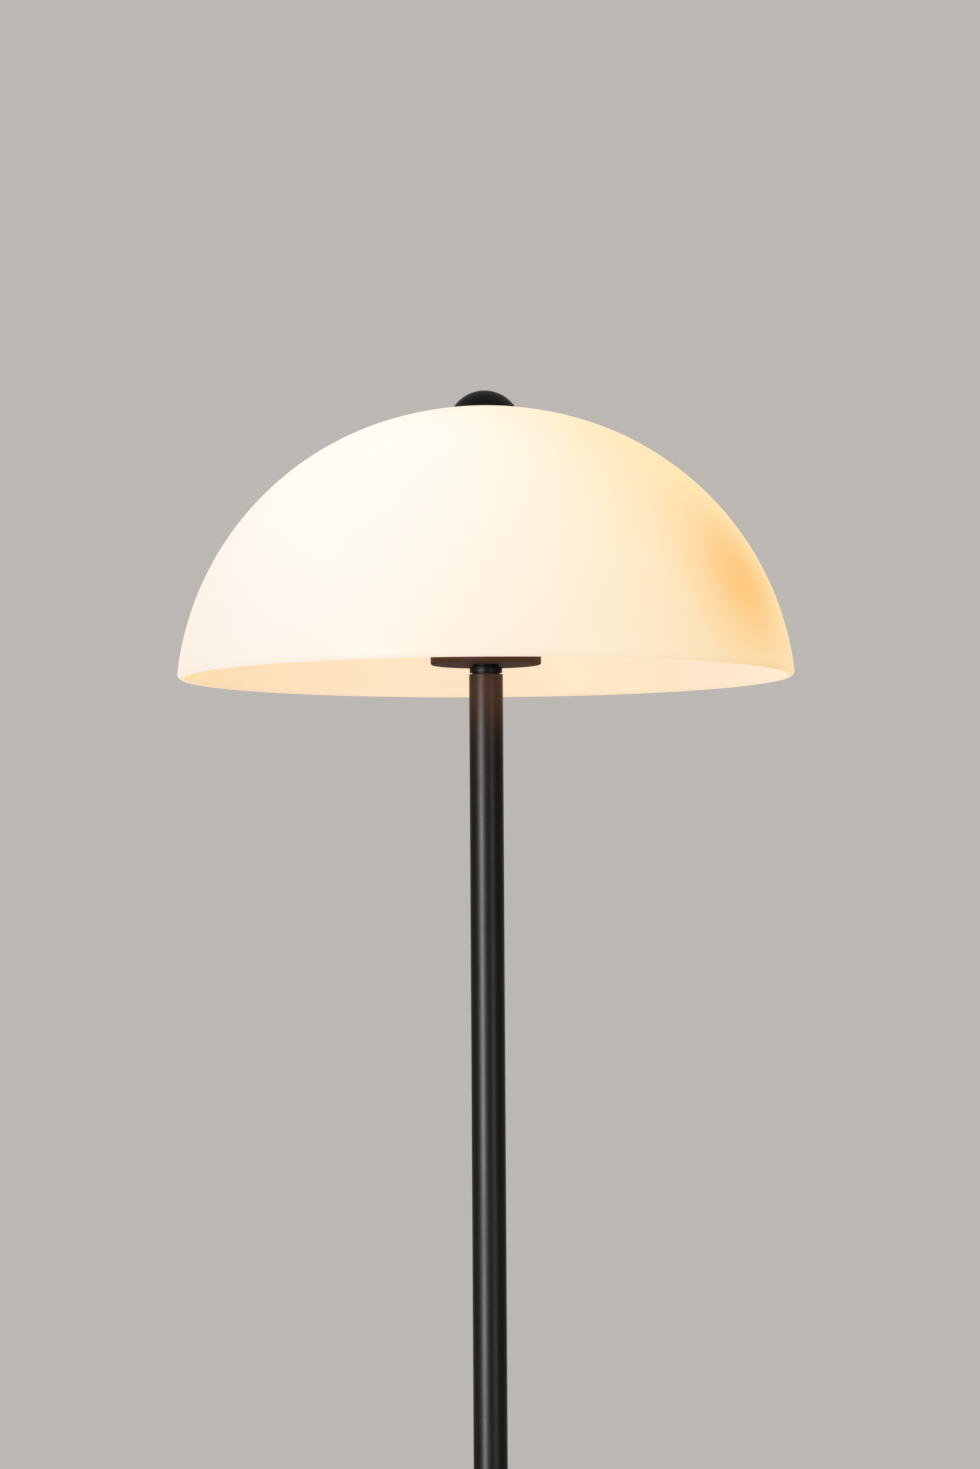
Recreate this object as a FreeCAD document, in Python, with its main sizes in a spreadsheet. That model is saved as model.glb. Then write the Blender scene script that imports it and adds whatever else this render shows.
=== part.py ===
"""Mushroom floor lamp: an opal glass dome over three bulbs, on a plain tube pole.

Millimetres, +Z up, origin on the floor under the middle of the base.  Every piece is a solid of
its own.  The pole, the base and everything clamped on the long hollow rod stand still.  The glass
lifts off, the finial that holds it unscrews, and each bulb unscrews from its holder.
"""
import FreeCAD, Part
import math
import os
from types import SimpleNamespace

import Sketcher

# Driving sizes: one row of the sheet each, millimetres or degrees.
SIZES = {
    # glass shade
    "shade_diameter": 400.0,
    "dome_height": 176.7,
    "crown_arc": 218.2,  # radius of the flatter arc round the crown
    "crown_angle": 17.25,  # where that arc ends, measured from the axis
    "glass_wall": 5.0,
    "rim_thickness": 6.6,
    "rim_round": 2.8,
    "rim_taper": 30.0,  # height over which the wall thickens to the rim
    "shade_hole": 14.0,
    "glass_gap": 0.3,  # between the loose glass and what it rests on
    "bush_flange_diameter": 26.0,
    "bush_flange": 1.5,
    "bush_gap": 0.2,  # bush in the glass
    # finial and its washer
    "finial_diameter": 43.0,
    "finial_height": 13.0,
    "finial_recess": 30.0,
    "finial_engagement": 6.0,  # thread inside the finial
    "finial_bore_spare": 0.8,
    "washer_diameter": 24.0,
    "washer_thickness": 1.0,
    # seat under the glass
    "seat_diameter": 56.0,
    "seat_dish_diameter": 36.0,
    "seat_floor_diameter": 27.0,
    "seat_dish": 7.0,
    "seat_sheet": 1.2,
    "pad_thickness": 2.0,
    # threaded rod, tubes and nuts: threads are drawn as plain cylinders
    "rod_diameter": 9.8,
    "rod_bore": 7.0,
    "thread_gap": 0.1,
    "rod_tail": 12.0,  # rod inside the neck collar, below the pole's end
    "nut_flats": 14.0,
    "nut_height": 4.0,
    "nut_chamfer": 0.7,
    "sleeve_diameter": 13.0,
    "window_width": 5.8,
    "window_height": 7.9,
    # pan under the lamp cluster
    "pan_diameter": 72.0,
    "pan_depth": 12.0,
    "pan_wall": 1.5,
    "pan_round": 1.2,
    "pan_above_rim": 9.2,
    # cast hub that carries the three holders
    "arm_rise": 30.0,
    "first_arm": 110.0,  # azimuth of the first arm
    "hub_centre": 15.3,  # where the arms' axes meet, above the pan's floor
    "hub_foot_diameter": 48.0,
    "hub_face": 25.0,  # cone face, from the point where the arms meet
    "hub_top_diameter": 30.0,
    "hub_wall": 3.0,
    "hub_roof": 4.0,
    "boss_diameter": 17.0,
    "boss_height": 2.0,
    # terminal ring and wires in the hub
    "terminal_outside": 36.0,
    "terminal_inside": 18.0,
    "terminal_height": 9.0,
    "terminal_slack": 0.5,
    "lead_diameter": 3.0,
    "lead_bend": 7.0,
    "lead_reach": 9.0,  # lead inside the holder, from the boss
    "flex_diameter": 5.0,
    "flex_bend": 6.0,
    "flex_top_bend": 7.5,
    "flex_exit": 5.5,  # height of the flex's upper end above the pan's floor
    # lamp holders
    "nipple_length": 12.0,
    "nipple_in_hub": 6.5,
    "holder_diameter": 28.0,
    "holder_mouth_diameter": 26.8,
    "holder_neck_diameter": 15.6,
    "holder_neck_length": 3.5,
    "holder_cap_length": 13.0,
    "holder_dome": 9.0,
    "holder_wall": 1.8,
    "holder_lip": 1.0,
    "skirt_length": 26.0,
    "skirt_floor": 3.4,
    "skirt_bore": 15.6,
    "skirt_mouth_bore": 20.4,
    "skirt_mouth_depth": 4.6,
    "wire_hole": 4.4,
    "shell_wall": 0.4,
    "shell_length": 17.0,
    "shell_start": 4.0,
    "strip_thickness": 0.4,
    "strip_width": 4.0,
    "strip_foot": 6.0,
    "strip_reach": 3.0,
    "strip_step": 0.9,
    # bulbs
    "bulb_seat": 5.0,  # tip contact above the back of the holder's skirt
    "screw_cap_diameter": 13.9,
    "screw_cap_gap": 0.3,
    "screw_cap_end": 22.0,
    "screw_cap_wall": 0.5,
    "tip_diameter": 4.8,
    "tip_height": 0.6,
    "insulator_diameter": 10.4,
    "insulator_height": 3.2,
    "insulator_slope": 2.0,
    "contact_gap": 0.1,
    "bulb_collar_diameter": 18.4,
    "bulb_neck_plug": 10.0,
    "bulb_body_length": 22.0,
    "bulb_body_arc": 60.0,
    "globe_diameter": 45.0,
    "globe_wall": 1.2,
    "bulb_length": 78.0,
    # neck collar
    "neck_spigot": 14.0,
    "neck_groove": 1.0,
    "neck_groove_diameter": 18.0,
    "neck_ring": 3.85,
    "neck_ring_diameter": 21.2,
    "neck_ring_chamfer": 0.3,
    "neck_top": 1.4,
    "neck_top_diameter": 17.0,
    # pole
    "pole_diameter": 22.0,
    "pole_wall": 1.5,
    "pole_section": 644.0,
    "plug_length": 30.0,
    "plug_gap": 0.05,
    "plug_bore": 8.0,
    "stud_diameter": 13.0,
    "stud_length": 18.0,
    "foot_collar_diameter": 38.0,
    "foot_collar_height": 9.0,
    "foot_collar_edge": 3.0,
    "foot_collar_cove": 8.0,
    "foot_collar_gap": 0.15,
    # base
    "base_diameter": 300.0,
    "base_height": 26.0,
    "base_edge_height": 14.0,
    "base_round": 5.0,
    "base_dome": 620.0,  # radius of the domed top
    "base_flat_diameter": 48.0,
    "base_sheet": 1.2,
    "base_lift": 2.5,  # gap under the spun cover
    "cover_gap": 0.5,
    "felt_thickness": 2.0,
    "felt_diameter": 284.0,
    "felt_hole": 90.0,
    "recess_diameter": 70.0,
    "recess_depth": 14.0,
    "plate_diameter": 86.0,
    "plate_thickness": 1.2,
    "plate_gap": 0.3,
    "screw_circle": 78.0,
    "screw_diameter": 3.0,
    "screw_head_diameter": 5.5,
    "screw_head": 1.4,
    "screw_length": 8.0,
    "screw_gap": 0.1,
    "tie_engagement": 18.0,
    "tie_tail": 0.5,
    "block_width": 18.0,
    "block_depth": 16.0,
    "block_height": 8.0,
    "block_start": 12.0,
    "block_gap": 0.2,  # block above the access plate
    "flex_entry": 3.4,  # height of the flex in the block, above its underside
    "block_screw": 4.0,
    "block_screw_depth": 3.0,
    "channel_width": 11.0,
    "channel_depth": 11.0,
    "gland_height": 7.5,
    "gland_diameter": 9.6,
    "gland_flange_diameter": 13.0,
    "gland_flange": 2.5,
    "gland_length": 14.0,
    "gland_bore": 6.4,
    "gland_gap": 0.1,
}
ARMS = 3
SCREWS = 3
NUT_SIDES = 6

doc = FreeCAD.newDocument("FloorLamp")
sheet = doc.addObject("Spreadsheet::Sheet", "Sizes")
for row, (name, number) in enumerate(SIZES.items(), start=1):
    sheet.set(f"A{row}", str(number))
    sheet.setAlias(f"A{row}", name)
doc.recompute()


class Size:
    """A length or an angle: its number now, and the formula that works it out from the sheet."""

    def __init__(self, value, formula=None):
        self.value = value
        self.formula = str(value) if formula is None else formula

    def __add__(self, other):
        return combine(self, "+", other, self.value + as_size(other).value)

    def __sub__(self, other):
        return combine(self, "-", other, self.value - as_size(other).value)

    def __mul__(self, other):
        return combine(self, "*", other, self.value * as_size(other).value)

    def __truediv__(self, other):
        return combine(self, "/", other, self.value / as_size(other).value)

    def __neg__(self):
        return combine(as_size(0), "-", self, -self.value)


def as_size(number):
    return number if isinstance(number, Size) else Size(number)


def combine(left, sign, right, value):
    return Size(value, f"({left.formula} {sign} {as_size(right).formula})")


def sine(angle):
    return Size(math.sin(math.radians(angle.value)), f"sin({angle.formula} * 1 deg)")


def cosine(angle):
    return Size(math.cos(math.radians(angle.value)), f"cos({angle.formula} * 1 deg)")


def root(square):
    return Size(math.sqrt(square.value), f"sqrt({square.formula})")


def height_on_arc(radius, reach):
    """Height above an arc's centre of the point that lies reach away from its axis."""
    return root(radius * radius - reach * reach)


def tangent_arc(start, end, normal):
    """Radius of the arc that leaves start square to normal and ends at end."""
    across = start[0] - end[0]
    down = start[1] - end[1]
    return (across * across + down * down) / ((across * normal[0] + down * normal[1]) * 2)


size = SimpleNamespace(**{n: Size(v, f"Sizes.{n}") for n, v in SIZES.items()})

# Levels above the floor, each stacked on the one below.
pole_foot = size.base_height
pole_joint = pole_foot + size.pole_section
pole_top = pole_joint + size.pole_section
pan_level = pole_top + size.neck_groove + size.neck_ring + size.neck_top
pan_floor = pan_level + size.pan_wall
rim_level = pan_level - size.pan_above_rim
crown_level = rim_level + size.dome_height
arm_centre = pan_floor + size.hub_centre
block_level = size.felt_thickness + size.plate_thickness + size.block_gap
rod_end = crown_level + size.bush_flange + size.washer_thickness + size.finial_engagement

# Radii that several pieces share.
rod_radius = size.rod_diameter / 2
thread_radius = rod_radius + size.thread_gap
tube_radius = size.pole_diameter / 2
tube_bore = tube_radius - size.pole_wall
plug_radius = tube_bore - size.plug_gap
holder_radius = size.holder_diameter / 2
cap_radius = size.screw_cap_diameter / 2
boss_face = size.hub_face + size.boss_height
skirt_level = boss_face + size.holder_cap_length
bulb_level = skirt_level + size.bulb_seat

pieces = []


# ---------------------------------------------------------------- drawing

def arc_between(start, end, radius):
    """Arc from start to end, under a half circle: it turns left where the radius is positive."""
    dx = end[0] - start[0]
    dy = end[1] - start[1]
    chord = math.hypot(dx, dy)
    side = math.copysign(math.sqrt(radius * radius - chord * chord / 4), radius) / chord
    centre = ((start[0] + end[0]) / 2 - dy * side, (start[1] + end[1]) / 2 + dx * side)
    ends = (start, end) if radius > 0 else (end, start)
    first, last = (math.atan2(p[1] - centre[1], p[0] - centre[0]) for p in ends)
    circle = Part.Circle(FreeCAD.Vector(*centre, 0), FreeCAD.Vector(0, 0, 1), abs(radius))
    return Part.ArcOfCircle(circle, first, last if last > first else last + 2 * math.pi)


def bind(sketch, constraints, formulas):
    """Adds the constraints, then ties each of those with a formula to the sheet."""
    first = sketch.ConstraintCount
    sketch.addConstraint(constraints)
    for place, formula in formulas.items():
        sketch.setExpression(f"Constraints[{first + place}]", formula)


def draw(sketch, corners, closed=True):
    """Lines and arcs through corners (x, y) or (x, y, radius of the arc that starts there)."""
    corners = [tuple(as_size(number) for number in corner) for corner in corners]
    count = len(corners)
    edges = count if closed else count - 1
    start_end = []
    for i in range(edges):
        here, there = corners[i], corners[(i + 1) % count]
        start, end = ((p[0].value, p[1].value) for p in (here, there))
        if len(here) == 3:
            sketch.addGeometry(arc_between(start, end, here[2].value))
            start_end.append((1, 2) if here[2].value > 0 else (2, 1))
        else:
            line = Part.LineSegment(FreeCAD.Vector(*start, 0), FreeCAD.Vector(*end, 0))
            sketch.addGeometry(line)
            start_end.append((1, 2))
    constraints, formulas = [], {}
    for i in range(edges - 1 if not closed else edges):
        after = (i + 1) % count
        joined = ("Coincident", i, start_end[i][1], after, start_end[after][0])
        constraints.append(Sketcher.Constraint(*joined))
    for i, corner in enumerate(corners):
        edge, end = (i, start_end[i][0]) if i < edges else (i - 1, start_end[i - 1][1])
        for kind, number, axis in (("DistanceX", corner[0], -2), ("DistanceY", corner[1], -1)):
            if number.formula == "0":
                constraints.append(Sketcher.Constraint("PointOnObject", edge, end, axis))
                continue
            formulas[len(constraints)] = number.formula
            constraints.append(Sketcher.Constraint(kind, -1, 1, edge, end, number.value))
        if len(corner) == 3:
            formulas[len(constraints)] = f"abs({corner[2].formula})"
            constraints.append(Sketcher.Constraint("Radius", i, abs(corner[2].value)))
    bind(sketch, constraints, formulas)


def draw_circle(sketch, x, y, radius):
    x, y, radius = as_size(x), as_size(y), as_size(radius)
    centre = FreeCAD.Vector(x.value, y.value, 0)
    number = sketch.addGeometry(Part.Circle(centre, FreeCAD.Vector(0, 0, 1), radius.value))
    constraints, formulas = [], {}
    for kind, place, axis in (("DistanceX", x, -2), ("DistanceY", y, -1)):
        if place.formula == "0":
            constraints.append(Sketcher.Constraint("PointOnObject", number, 3, axis))
            continue
        formulas[len(constraints)] = place.formula
        constraints.append(Sketcher.Constraint(kind, -1, 1, number, 3, place.value))
    formulas[len(constraints)] = radius.formula
    constraints.append(Sketcher.Constraint("Radius", number, radius.value))
    bind(sketch, constraints, formulas)


# ---------------------------------------------------------------- bodies

def new_body(name):
    return doc.addObject("PartDesign::Body", name)


def sketch_on(body, role, name, offset=None):
    """A sketch flat on one of the body's own origin planes, lifted along its normal by offset."""
    plane = next(f for f in body.Origin.OriginFeatures if f.Role == role)
    sketch = body.newObject("Sketcher::SketchObject", name)
    sketch.AttachmentSupport = [(plane, "")]
    sketch.MapMode = "FlatFace"
    if offset is not None:
        sketch.setExpression("AttachmentOffset.Base.z", offset.formula)
    return sketch


def lift(shape, level):
    """Stands a piece at its level above the floor."""
    level = as_size(level)
    shape.Placement.Base.z = level.value
    shape.setExpression("Placement.Base.z", level.formula)
    return shape


def shift(shape, **places):
    """Moves a piece along x, y or z, each place a size."""
    for axis, place in places.items():
        shape.setExpression(f"Placement.Base.{axis}", as_size(place).formula)
    return shape


def arm_azimuth(number):
    return size.first_arm + 360 / ARMS * number


def put_on_arm(shape, number, distance):
    """Turns a piece's +Z outwards along an arm, with its origin at a distance along that arm."""
    azimuth = arm_azimuth(number)
    flat = math.radians(azimuth.value)
    across = FreeCAD.Vector(-math.sin(flat), math.cos(flat), 0)
    shape.Placement = FreeCAD.Placement(
        FreeCAD.Vector(0, 0, 0), FreeCAD.Rotation(across, 90 - size.arm_rise.value)
    )
    shape.setExpression("Placement.Rotation.Angle", f"90 - {size.arm_rise.formula}")
    out = distance * cosine(size.arm_rise)
    height = arm_centre + distance * sine(size.arm_rise)
    return shift(shape, x=out * cosine(azimuth), y=out * sine(azimuth), z=height)


def turned(name, corners, level=0):
    """A piece turned about its own Z axis from a half outline of (radius, height) corners."""
    body = new_body(name)
    outline = sketch_on(body, "XZ_Plane", f"{name}_outline")
    draw(outline, corners)
    turn = body.newObject("PartDesign::Revolution", f"{name}_turned")
    turn.Profile = outline
    turn.ReferenceAxis = (outline, ["V_Axis"])
    turn.Angle = 360
    body.Tip = turn
    return lift(body, level)


def tube(name, inside, outside, length, level=0):
    """A plain round tube or ring."""
    return turned(name, [(inside, 0), (outside, 0), (outside, length), (inside, length)], level)


def padded(name, role, corners, circles, height):
    """A flat outline with round holes, raised to a height; a round disc where corners is None."""
    body = new_body(name)
    outline = sketch_on(body, role, f"{name}_outline")
    if corners:
        draw(outline, corners)
    for x, y, radius in circles:
        draw_circle(outline, x, y, radius)
    pad = body.newObject("PartDesign::Pad", f"{name}_pad")
    pad.Profile = outline
    pad.setExpression("Length", height.formula)
    body.Tip = pad
    return body


def cylinder(name, radius, height):
    shape = doc.addObject("Part::Cylinder", name)
    shape.setExpression("Radius", as_size(radius).formula)
    shape.setExpression("Height", as_size(height).formula)
    return shape


def fuse(name, shapes):
    joined = doc.addObject("Part::MultiFuse", name)
    joined.Shapes = shapes
    return joined


def cut(name, base, tools):
    """The base less its tools."""
    result = doc.addObject("Part::Cut", name)
    result.Base = base
    result.Tool = tools[0] if len(tools) == 1 else fuse(f"{name}_tools", tools)
    return result


def group(name, shapes):
    """Like pieces that share one node, each still a solid of its own."""
    together = doc.addObject("Part::Compound", name)
    together.Links = shapes
    return together


def keep(piece, label=None):
    """Names a finished piece and puts it on the list of what is written."""
    piece.Label = label or piece.Name
    pieces.append(piece)
    return piece


def hex_nut(label, level):
    """Hexagon nut with its corners chamfered and a plain bore in place of the thread."""
    prism = doc.addObject("Part::Prism", f"{label}_prism")
    prism.Polygon = NUT_SIDES
    corner = size.nut_flats / 2 / cosine(as_size(180 / NUT_SIDES))
    prism.setExpression("Circumradius", corner.formula)
    prism.setExpression("Height", size.nut_height.formula)
    barrel = turned(f"{label}_barrel", [
        (thread_radius, 0),
        (corner - size.nut_chamfer, 0),
        (corner, size.nut_chamfer / 2),
        (corner, size.nut_height - size.nut_chamfer / 2),
        (corner - size.nut_chamfer, size.nut_height),
        (thread_radius, size.nut_height),
    ])
    nut = doc.addObject("Part::Common", label)
    nut.Base = prism
    nut.Tool = barrel
    return keep(lift(nut, level), label)


# ---------------------------------------------------------------- glass shade

def glass_arcs():
    """Where the dome's two tangent arcs meet and their radii, heights measured from the rim."""
    normal = (sine(size.crown_angle), cosine(size.crown_angle))
    crown_centre = size.dome_height - size.crown_arc
    meet = (size.crown_arc * normal[0], crown_centre + size.crown_arc * normal[1])
    rim = (size.shade_diameter / 2, size.rim_round)
    shoulder = tangent_arc(meet, rim, normal)
    centre = (meet[0] - shoulder * normal[0], meet[1] - shoulder * normal[1])
    return normal, crown_centre, meet, rim, shoulder, centre


def make_glass():
    """The blown dome: a flatter crown arc, a tangent shoulder arc and a thick rounded rim."""
    normal, crown_centre, meet, rim, shoulder, centre = glass_arcs()
    wall = size.glass_wall
    hole = size.shade_hole / 2
    inner_crown = size.crown_arc - wall
    inner_shoulder = shoulder - wall
    inner_meet = (meet[0] - wall * normal[0], meet[1] - wall * normal[1])
    rise = size.rim_taper - centre[1]
    reach = height_on_arc(inner_shoulder, rise)
    taper = (centre[0] + reach, size.rim_taper)
    inner_rim = (rim[0] - size.rim_thickness, size.rim_round)
    thickening = tangent_arc(taper, inner_rim, (reach / inner_shoulder, rise / inner_shoulder))
    return keep(turned("glass_shade", [
        (hole, crown_centre + height_on_arc(size.crown_arc, hole), -size.crown_arc),
        (*meet, -shoulder),
        (*rim, -size.rim_round),
        (rim[0] - size.rim_round, 0),
        (inner_rim[0] + size.rim_round, 0, -size.rim_round),
        (*inner_rim, thickening),
        (*taper, inner_shoulder),
        (*inner_meet, inner_crown),
        (hole, crown_centre + height_on_arc(inner_crown, hole)),
    ], rim_level))


def make_crown_fittings():
    """Bush in the glass's hole, washer and finial above it.  Heights start at the crown's top."""
    bore = rod_radius + size.glass_gap
    flange = size.bush_flange
    keep(turned("glass_bush", [
        (bore, -size.glass_wall),
        (size.shade_hole / 2 - size.bush_gap, -size.glass_wall),
        (size.shade_hole / 2 - size.bush_gap, 0),
        (size.bush_flange_diameter / 2, 0),
        (size.bush_flange_diameter / 2, flange),
        (bore, flange),
    ], crown_level))
    washer_level = crown_level + flange
    washer = (bore, size.washer_diameter / 2, size.washer_thickness, washer_level)
    keep(tube("finial_washer", *washer))
    keep(turned("finial", finial_outline(), crown_level))


def finial_outline():
    """Domed cap nut, hollow underneath, its foot following the glass."""
    under = size.crown_arc + size.glass_gap
    radius = size.finial_diameter / 2
    recess = size.finial_recess / 2
    ceiling = size.bush_flange + size.washer_thickness
    foot = height_on_arc(under, radius) - size.crown_arc
    dome = (radius * radius + size.finial_height * size.finial_height) / size.finial_height / 2
    bore_end = ceiling + size.finial_engagement + size.finial_bore_spare
    return [
        (thread_radius, ceiling),
        (recess, ceiling),
        (recess, height_on_arc(under, recess) - size.crown_arc, -under),
        (radius, foot, dome),
        (0, foot + size.finial_height),
        (0, bore_end),
        (thread_radius, bore_end),
    ]


# ---------------------------------------------------------------- rod and seat

def pad_bottom():
    """Height of the seat pad's flat underside, measured from the crown's top."""
    top_arc = size.crown_arc - size.glass_wall - size.glass_gap
    edge = height_on_arc(top_arc, size.seat_diameter / 2) - size.crown_arc
    return edge - size.pad_thickness


def hub_height():
    """Height of the hub's flat top above the pan's floor."""
    rise = size.arm_rise
    run = size.hub_face * cosine(rise) - size.hub_top_diameter / 2
    return size.hub_centre + size.hub_face * sine(rise) + run / sine(rise) * cosine(rise)


seat_bottom = pad_bottom() - size.seat_sheet - size.seat_dish
hub_top = pan_floor + hub_height()


def make_seat():
    """Dished sheet-metal seat, the soft pad on its flange, and the nut in its dish."""
    outside = size.seat_diameter / 2
    dish = size.seat_dish_diameter / 2
    floor = size.seat_floor_diameter / 2
    under = pad_bottom()
    top_arc = size.crown_arc - size.glass_wall - size.glass_gap
    keep(turned("shade_seat", [
        (thread_radius, seat_bottom),
        (floor, seat_bottom),
        (dish, seat_bottom + size.seat_dish),
        (outside, seat_bottom + size.seat_dish),
        (outside, under),
        (dish - size.seat_sheet, under),
        (floor - size.seat_sheet, seat_bottom + size.seat_sheet),
        (thread_radius, seat_bottom + size.seat_sheet),
    ], crown_level))
    keep(turned("seat_pad", [
        (dish, under),
        (outside, under),
        (outside, height_on_arc(top_arc, outside) - size.crown_arc, top_arc),
        (dish, height_on_arc(top_arc, dish) - size.crown_arc),
    ], crown_level))
    hex_nut("seat_nut", crown_level + seat_bottom + size.seat_sheet)


def make_rod():
    """Long hollow threaded rod with a window in its side for the flex, its nut and its sleeve."""
    bottom = pole_top - size.rod_tail
    full = tube("rod_tube", size.rod_bore / 2, rod_radius, rod_end - bottom, bottom)
    window = doc.addObject("Part::Box", "rod_window")
    window.setExpression("Length", size.window_width.formula)
    window.setExpression("Width", size.rod_diameter.formula)
    middle = pan_floor + size.flex_exit
    window.setExpression("Height", size.window_height.formula)
    shift(window, x=-size.window_width / 2, y=0, z=middle - size.flex_diameter)
    keep(cut("centre_rod", full, [window]))
    hex_nut("rod_nut", hub_top)
    start = hub_top + size.nut_height
    length = crown_level + seat_bottom - start
    keep(tube("rod_sleeve", thread_radius, size.sleeve_diameter / 2, length, start))


# ---------------------------------------------------------------- lamp cluster

def make_pan():
    """Shallow round pan whose underside shows below the shade's rim."""
    radius = size.pan_diameter / 2
    keep(turned("lamp_pan", [
        (thread_radius, 0),
        (radius - size.pan_round, 0, size.pan_round),
        (radius, size.pan_round),
        (radius, size.pan_depth),
        (radius - size.pan_wall, size.pan_depth),
        (radius - size.pan_wall, size.pan_wall),
        (thread_radius, size.pan_wall),
    ], pan_level))


def cone_corner(face, height):
    """Radius of a cone that lies square to the arms, face away from their meeting point."""
    climb = (height - size.hub_centre - face * sine(size.arm_rise)) / cosine(size.arm_rise)
    return face * cosine(size.arm_rise) - climb * sine(size.arm_rise)


def make_hub():
    """Cast hub: a hollow cone standing on the pan, with a bored boss square to each arm."""
    height = hub_height()
    inner_face = size.hub_face - size.hub_wall
    roof = height - size.hub_roof
    foot = size.hub_foot_diameter / 2
    shell = turned("hub_shell", [
        (thread_radius, height),
        (thread_radius, roof),
        (cone_corner(inner_face, roof), roof),
        (cone_corner(inner_face, size.hub_centre), size.hub_centre),
        (foot - size.hub_wall, 0),
        (foot, 0),
        (cone_corner(size.hub_face, size.hub_centre), size.hub_centre),
        (size.hub_top_diameter / 2, height),
    ], pan_floor)
    bosses, bores = [], []
    inside = inner_face - size.hub_wall / 2
    for number in range(ARMS):
        depth = boss_face - inside
        boss = cylinder(f"hub_boss_{number + 1}", size.boss_diameter / 2, depth)
        bosses.append(put_on_arm(boss, number, inside))
        bore = cylinder(f"hub_bore_{number + 1}", thread_radius, depth + size.hub_wall * 2)
        bores.append(put_on_arm(bore, number, inside - size.hub_wall))
    keep(cut("cluster_hub", fuse("hub_with_bosses", [shell, *bosses]), bores))


def make_wiring():
    """Terminal ring on the pan's floor, with a lead from it to each holder."""
    inside = size.terminal_inside / 2
    outside = size.terminal_outside / 2
    height = size.terminal_height
    keep(tube("terminal_ring", inside, outside, height, pan_floor))
    reach = (inside + outside) / 2
    slope = sine(size.arm_rise) / cosine(size.arm_rise)
    turn = as_size(90) - size.arm_rise
    set_back = size.lead_bend * sine(turn / 2) / cosine(turn / 2)
    on_axis = size.hub_centre + reach * slope
    leave = set_back * cosine(size.arm_rise)
    climb = set_back * sine(size.arm_rise)
    far = boss_face + size.lead_reach
    path = [
        (reach, height),
        (reach, on_axis - set_back, -size.lead_bend),
        (reach + leave, on_axis + climb),
        (far * cosine(size.arm_rise), size.hub_centre + far * sine(size.arm_rise)),
    ]
    leads = []
    for number in range(ARMS):
        body = new_body(f"holder_lead_{number + 1}")
        start = sketch_on(body, "XY_Plane", f"{body.Name}_end", height)
        draw_circle(start, reach, 0, size.lead_diameter / 2)
        leads.append(pipe(body, start, "XZ_Plane", path))
        body.Placement.Rotation = FreeCAD.Rotation(FreeCAD.Vector(0, 0, 1), 1)
        body.setExpression("Placement.Rotation.Angle", arm_azimuth(number).formula)
        lift(body, pan_floor)
    keep(group("holder_leads", leads))


def pipe(body, start, role, path):
    """Sweeps the start sketch along a path of runs and tangent arcs on an origin plane."""
    route = sketch_on(body, role, f"{body.Name}_route")
    draw(route, path, closed=False)
    sweep = body.newObject("PartDesign::AdditivePipe", f"{body.Name}_pipe")
    sweep.Profile = start
    sweep.Spine = (route, [])
    body.Tip = sweep
    return body


def make_holder(number):
    """Two-part lampholder with its brass screw shell, on a hollow nipple in the hub's boss."""
    label = number + 1
    neck = size.holder_neck_diameter / 2
    wall = size.holder_wall
    step = size.holder_neck_length
    cap = turned(f"holder_cap_{label}", [
        (thread_radius, 0),
        (neck, 0),
        (neck, step, size.holder_dome),
        (holder_radius, size.holder_cap_length),
        (holder_radius - wall, size.holder_cap_length, wall - size.holder_dome),
        (neck, step + wall),
        (thread_radius, step + wall),
    ])
    keep(put_on_arm(cap, number, boss_face))
    mouth = size.holder_mouth_diameter / 2
    mouth_start = size.skirt_length - size.skirt_mouth_depth
    skirt = turned(f"holder_skirt_{label}", [
        (size.wire_hole / 2, 0),
        (holder_radius, 0),
        (mouth, size.skirt_length - size.holder_lip, size.holder_lip),
        (mouth - size.holder_lip, size.skirt_length),
        (size.skirt_mouth_bore / 2, size.skirt_length),
        (size.skirt_mouth_bore / 2, mouth_start),
        (size.skirt_bore / 2, mouth_start),
        (size.skirt_bore / 2, size.skirt_floor),
        (size.wire_hole / 2, size.skirt_floor),
    ])
    keep(put_on_arm(skirt, number, skirt_level))
    bore = cap_radius + size.screw_cap_gap
    shell = tube(f"screw_shell_{label}", bore, bore + size.shell_wall, size.shell_length)
    keep(put_on_arm(shell, number, skirt_level + size.shell_start))


def make_holder_fittings():
    """The hollow nipples and the centre contacts of all the holders, one node each."""
    nipples, contacts = [], []
    thick = size.strip_thickness
    bend = size.strip_step
    strip = [
        (-size.strip_foot, 0),
        (-bend, 0),
        (bend, bend),
        (size.strip_reach, bend),
        (size.strip_reach, bend + thick),
        (bend - thick / 2, bend + thick),
        (-bend - thick / 2, thick),
        (-size.strip_foot, thick),
    ]
    for number in range(ARMS):
        name = f"nipple_{number + 1}"
        nipple = tube(name, size.rod_bore / 2, rod_radius, size.nipple_length)
        nipples.append(put_on_arm(nipple, number, boss_face - size.nipple_in_hub))
        name = f"contact_{number + 1}"
        contact = padded(name, "XZ_Plane", strip, [], size.strip_width)
        contact.Tip.Midplane = True
        contacts.append(put_on_arm(contact, number, skirt_level + size.skirt_floor))
    keep(group("holder_nipples", nipples))
    keep(group("centre_contacts", contacts))


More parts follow.
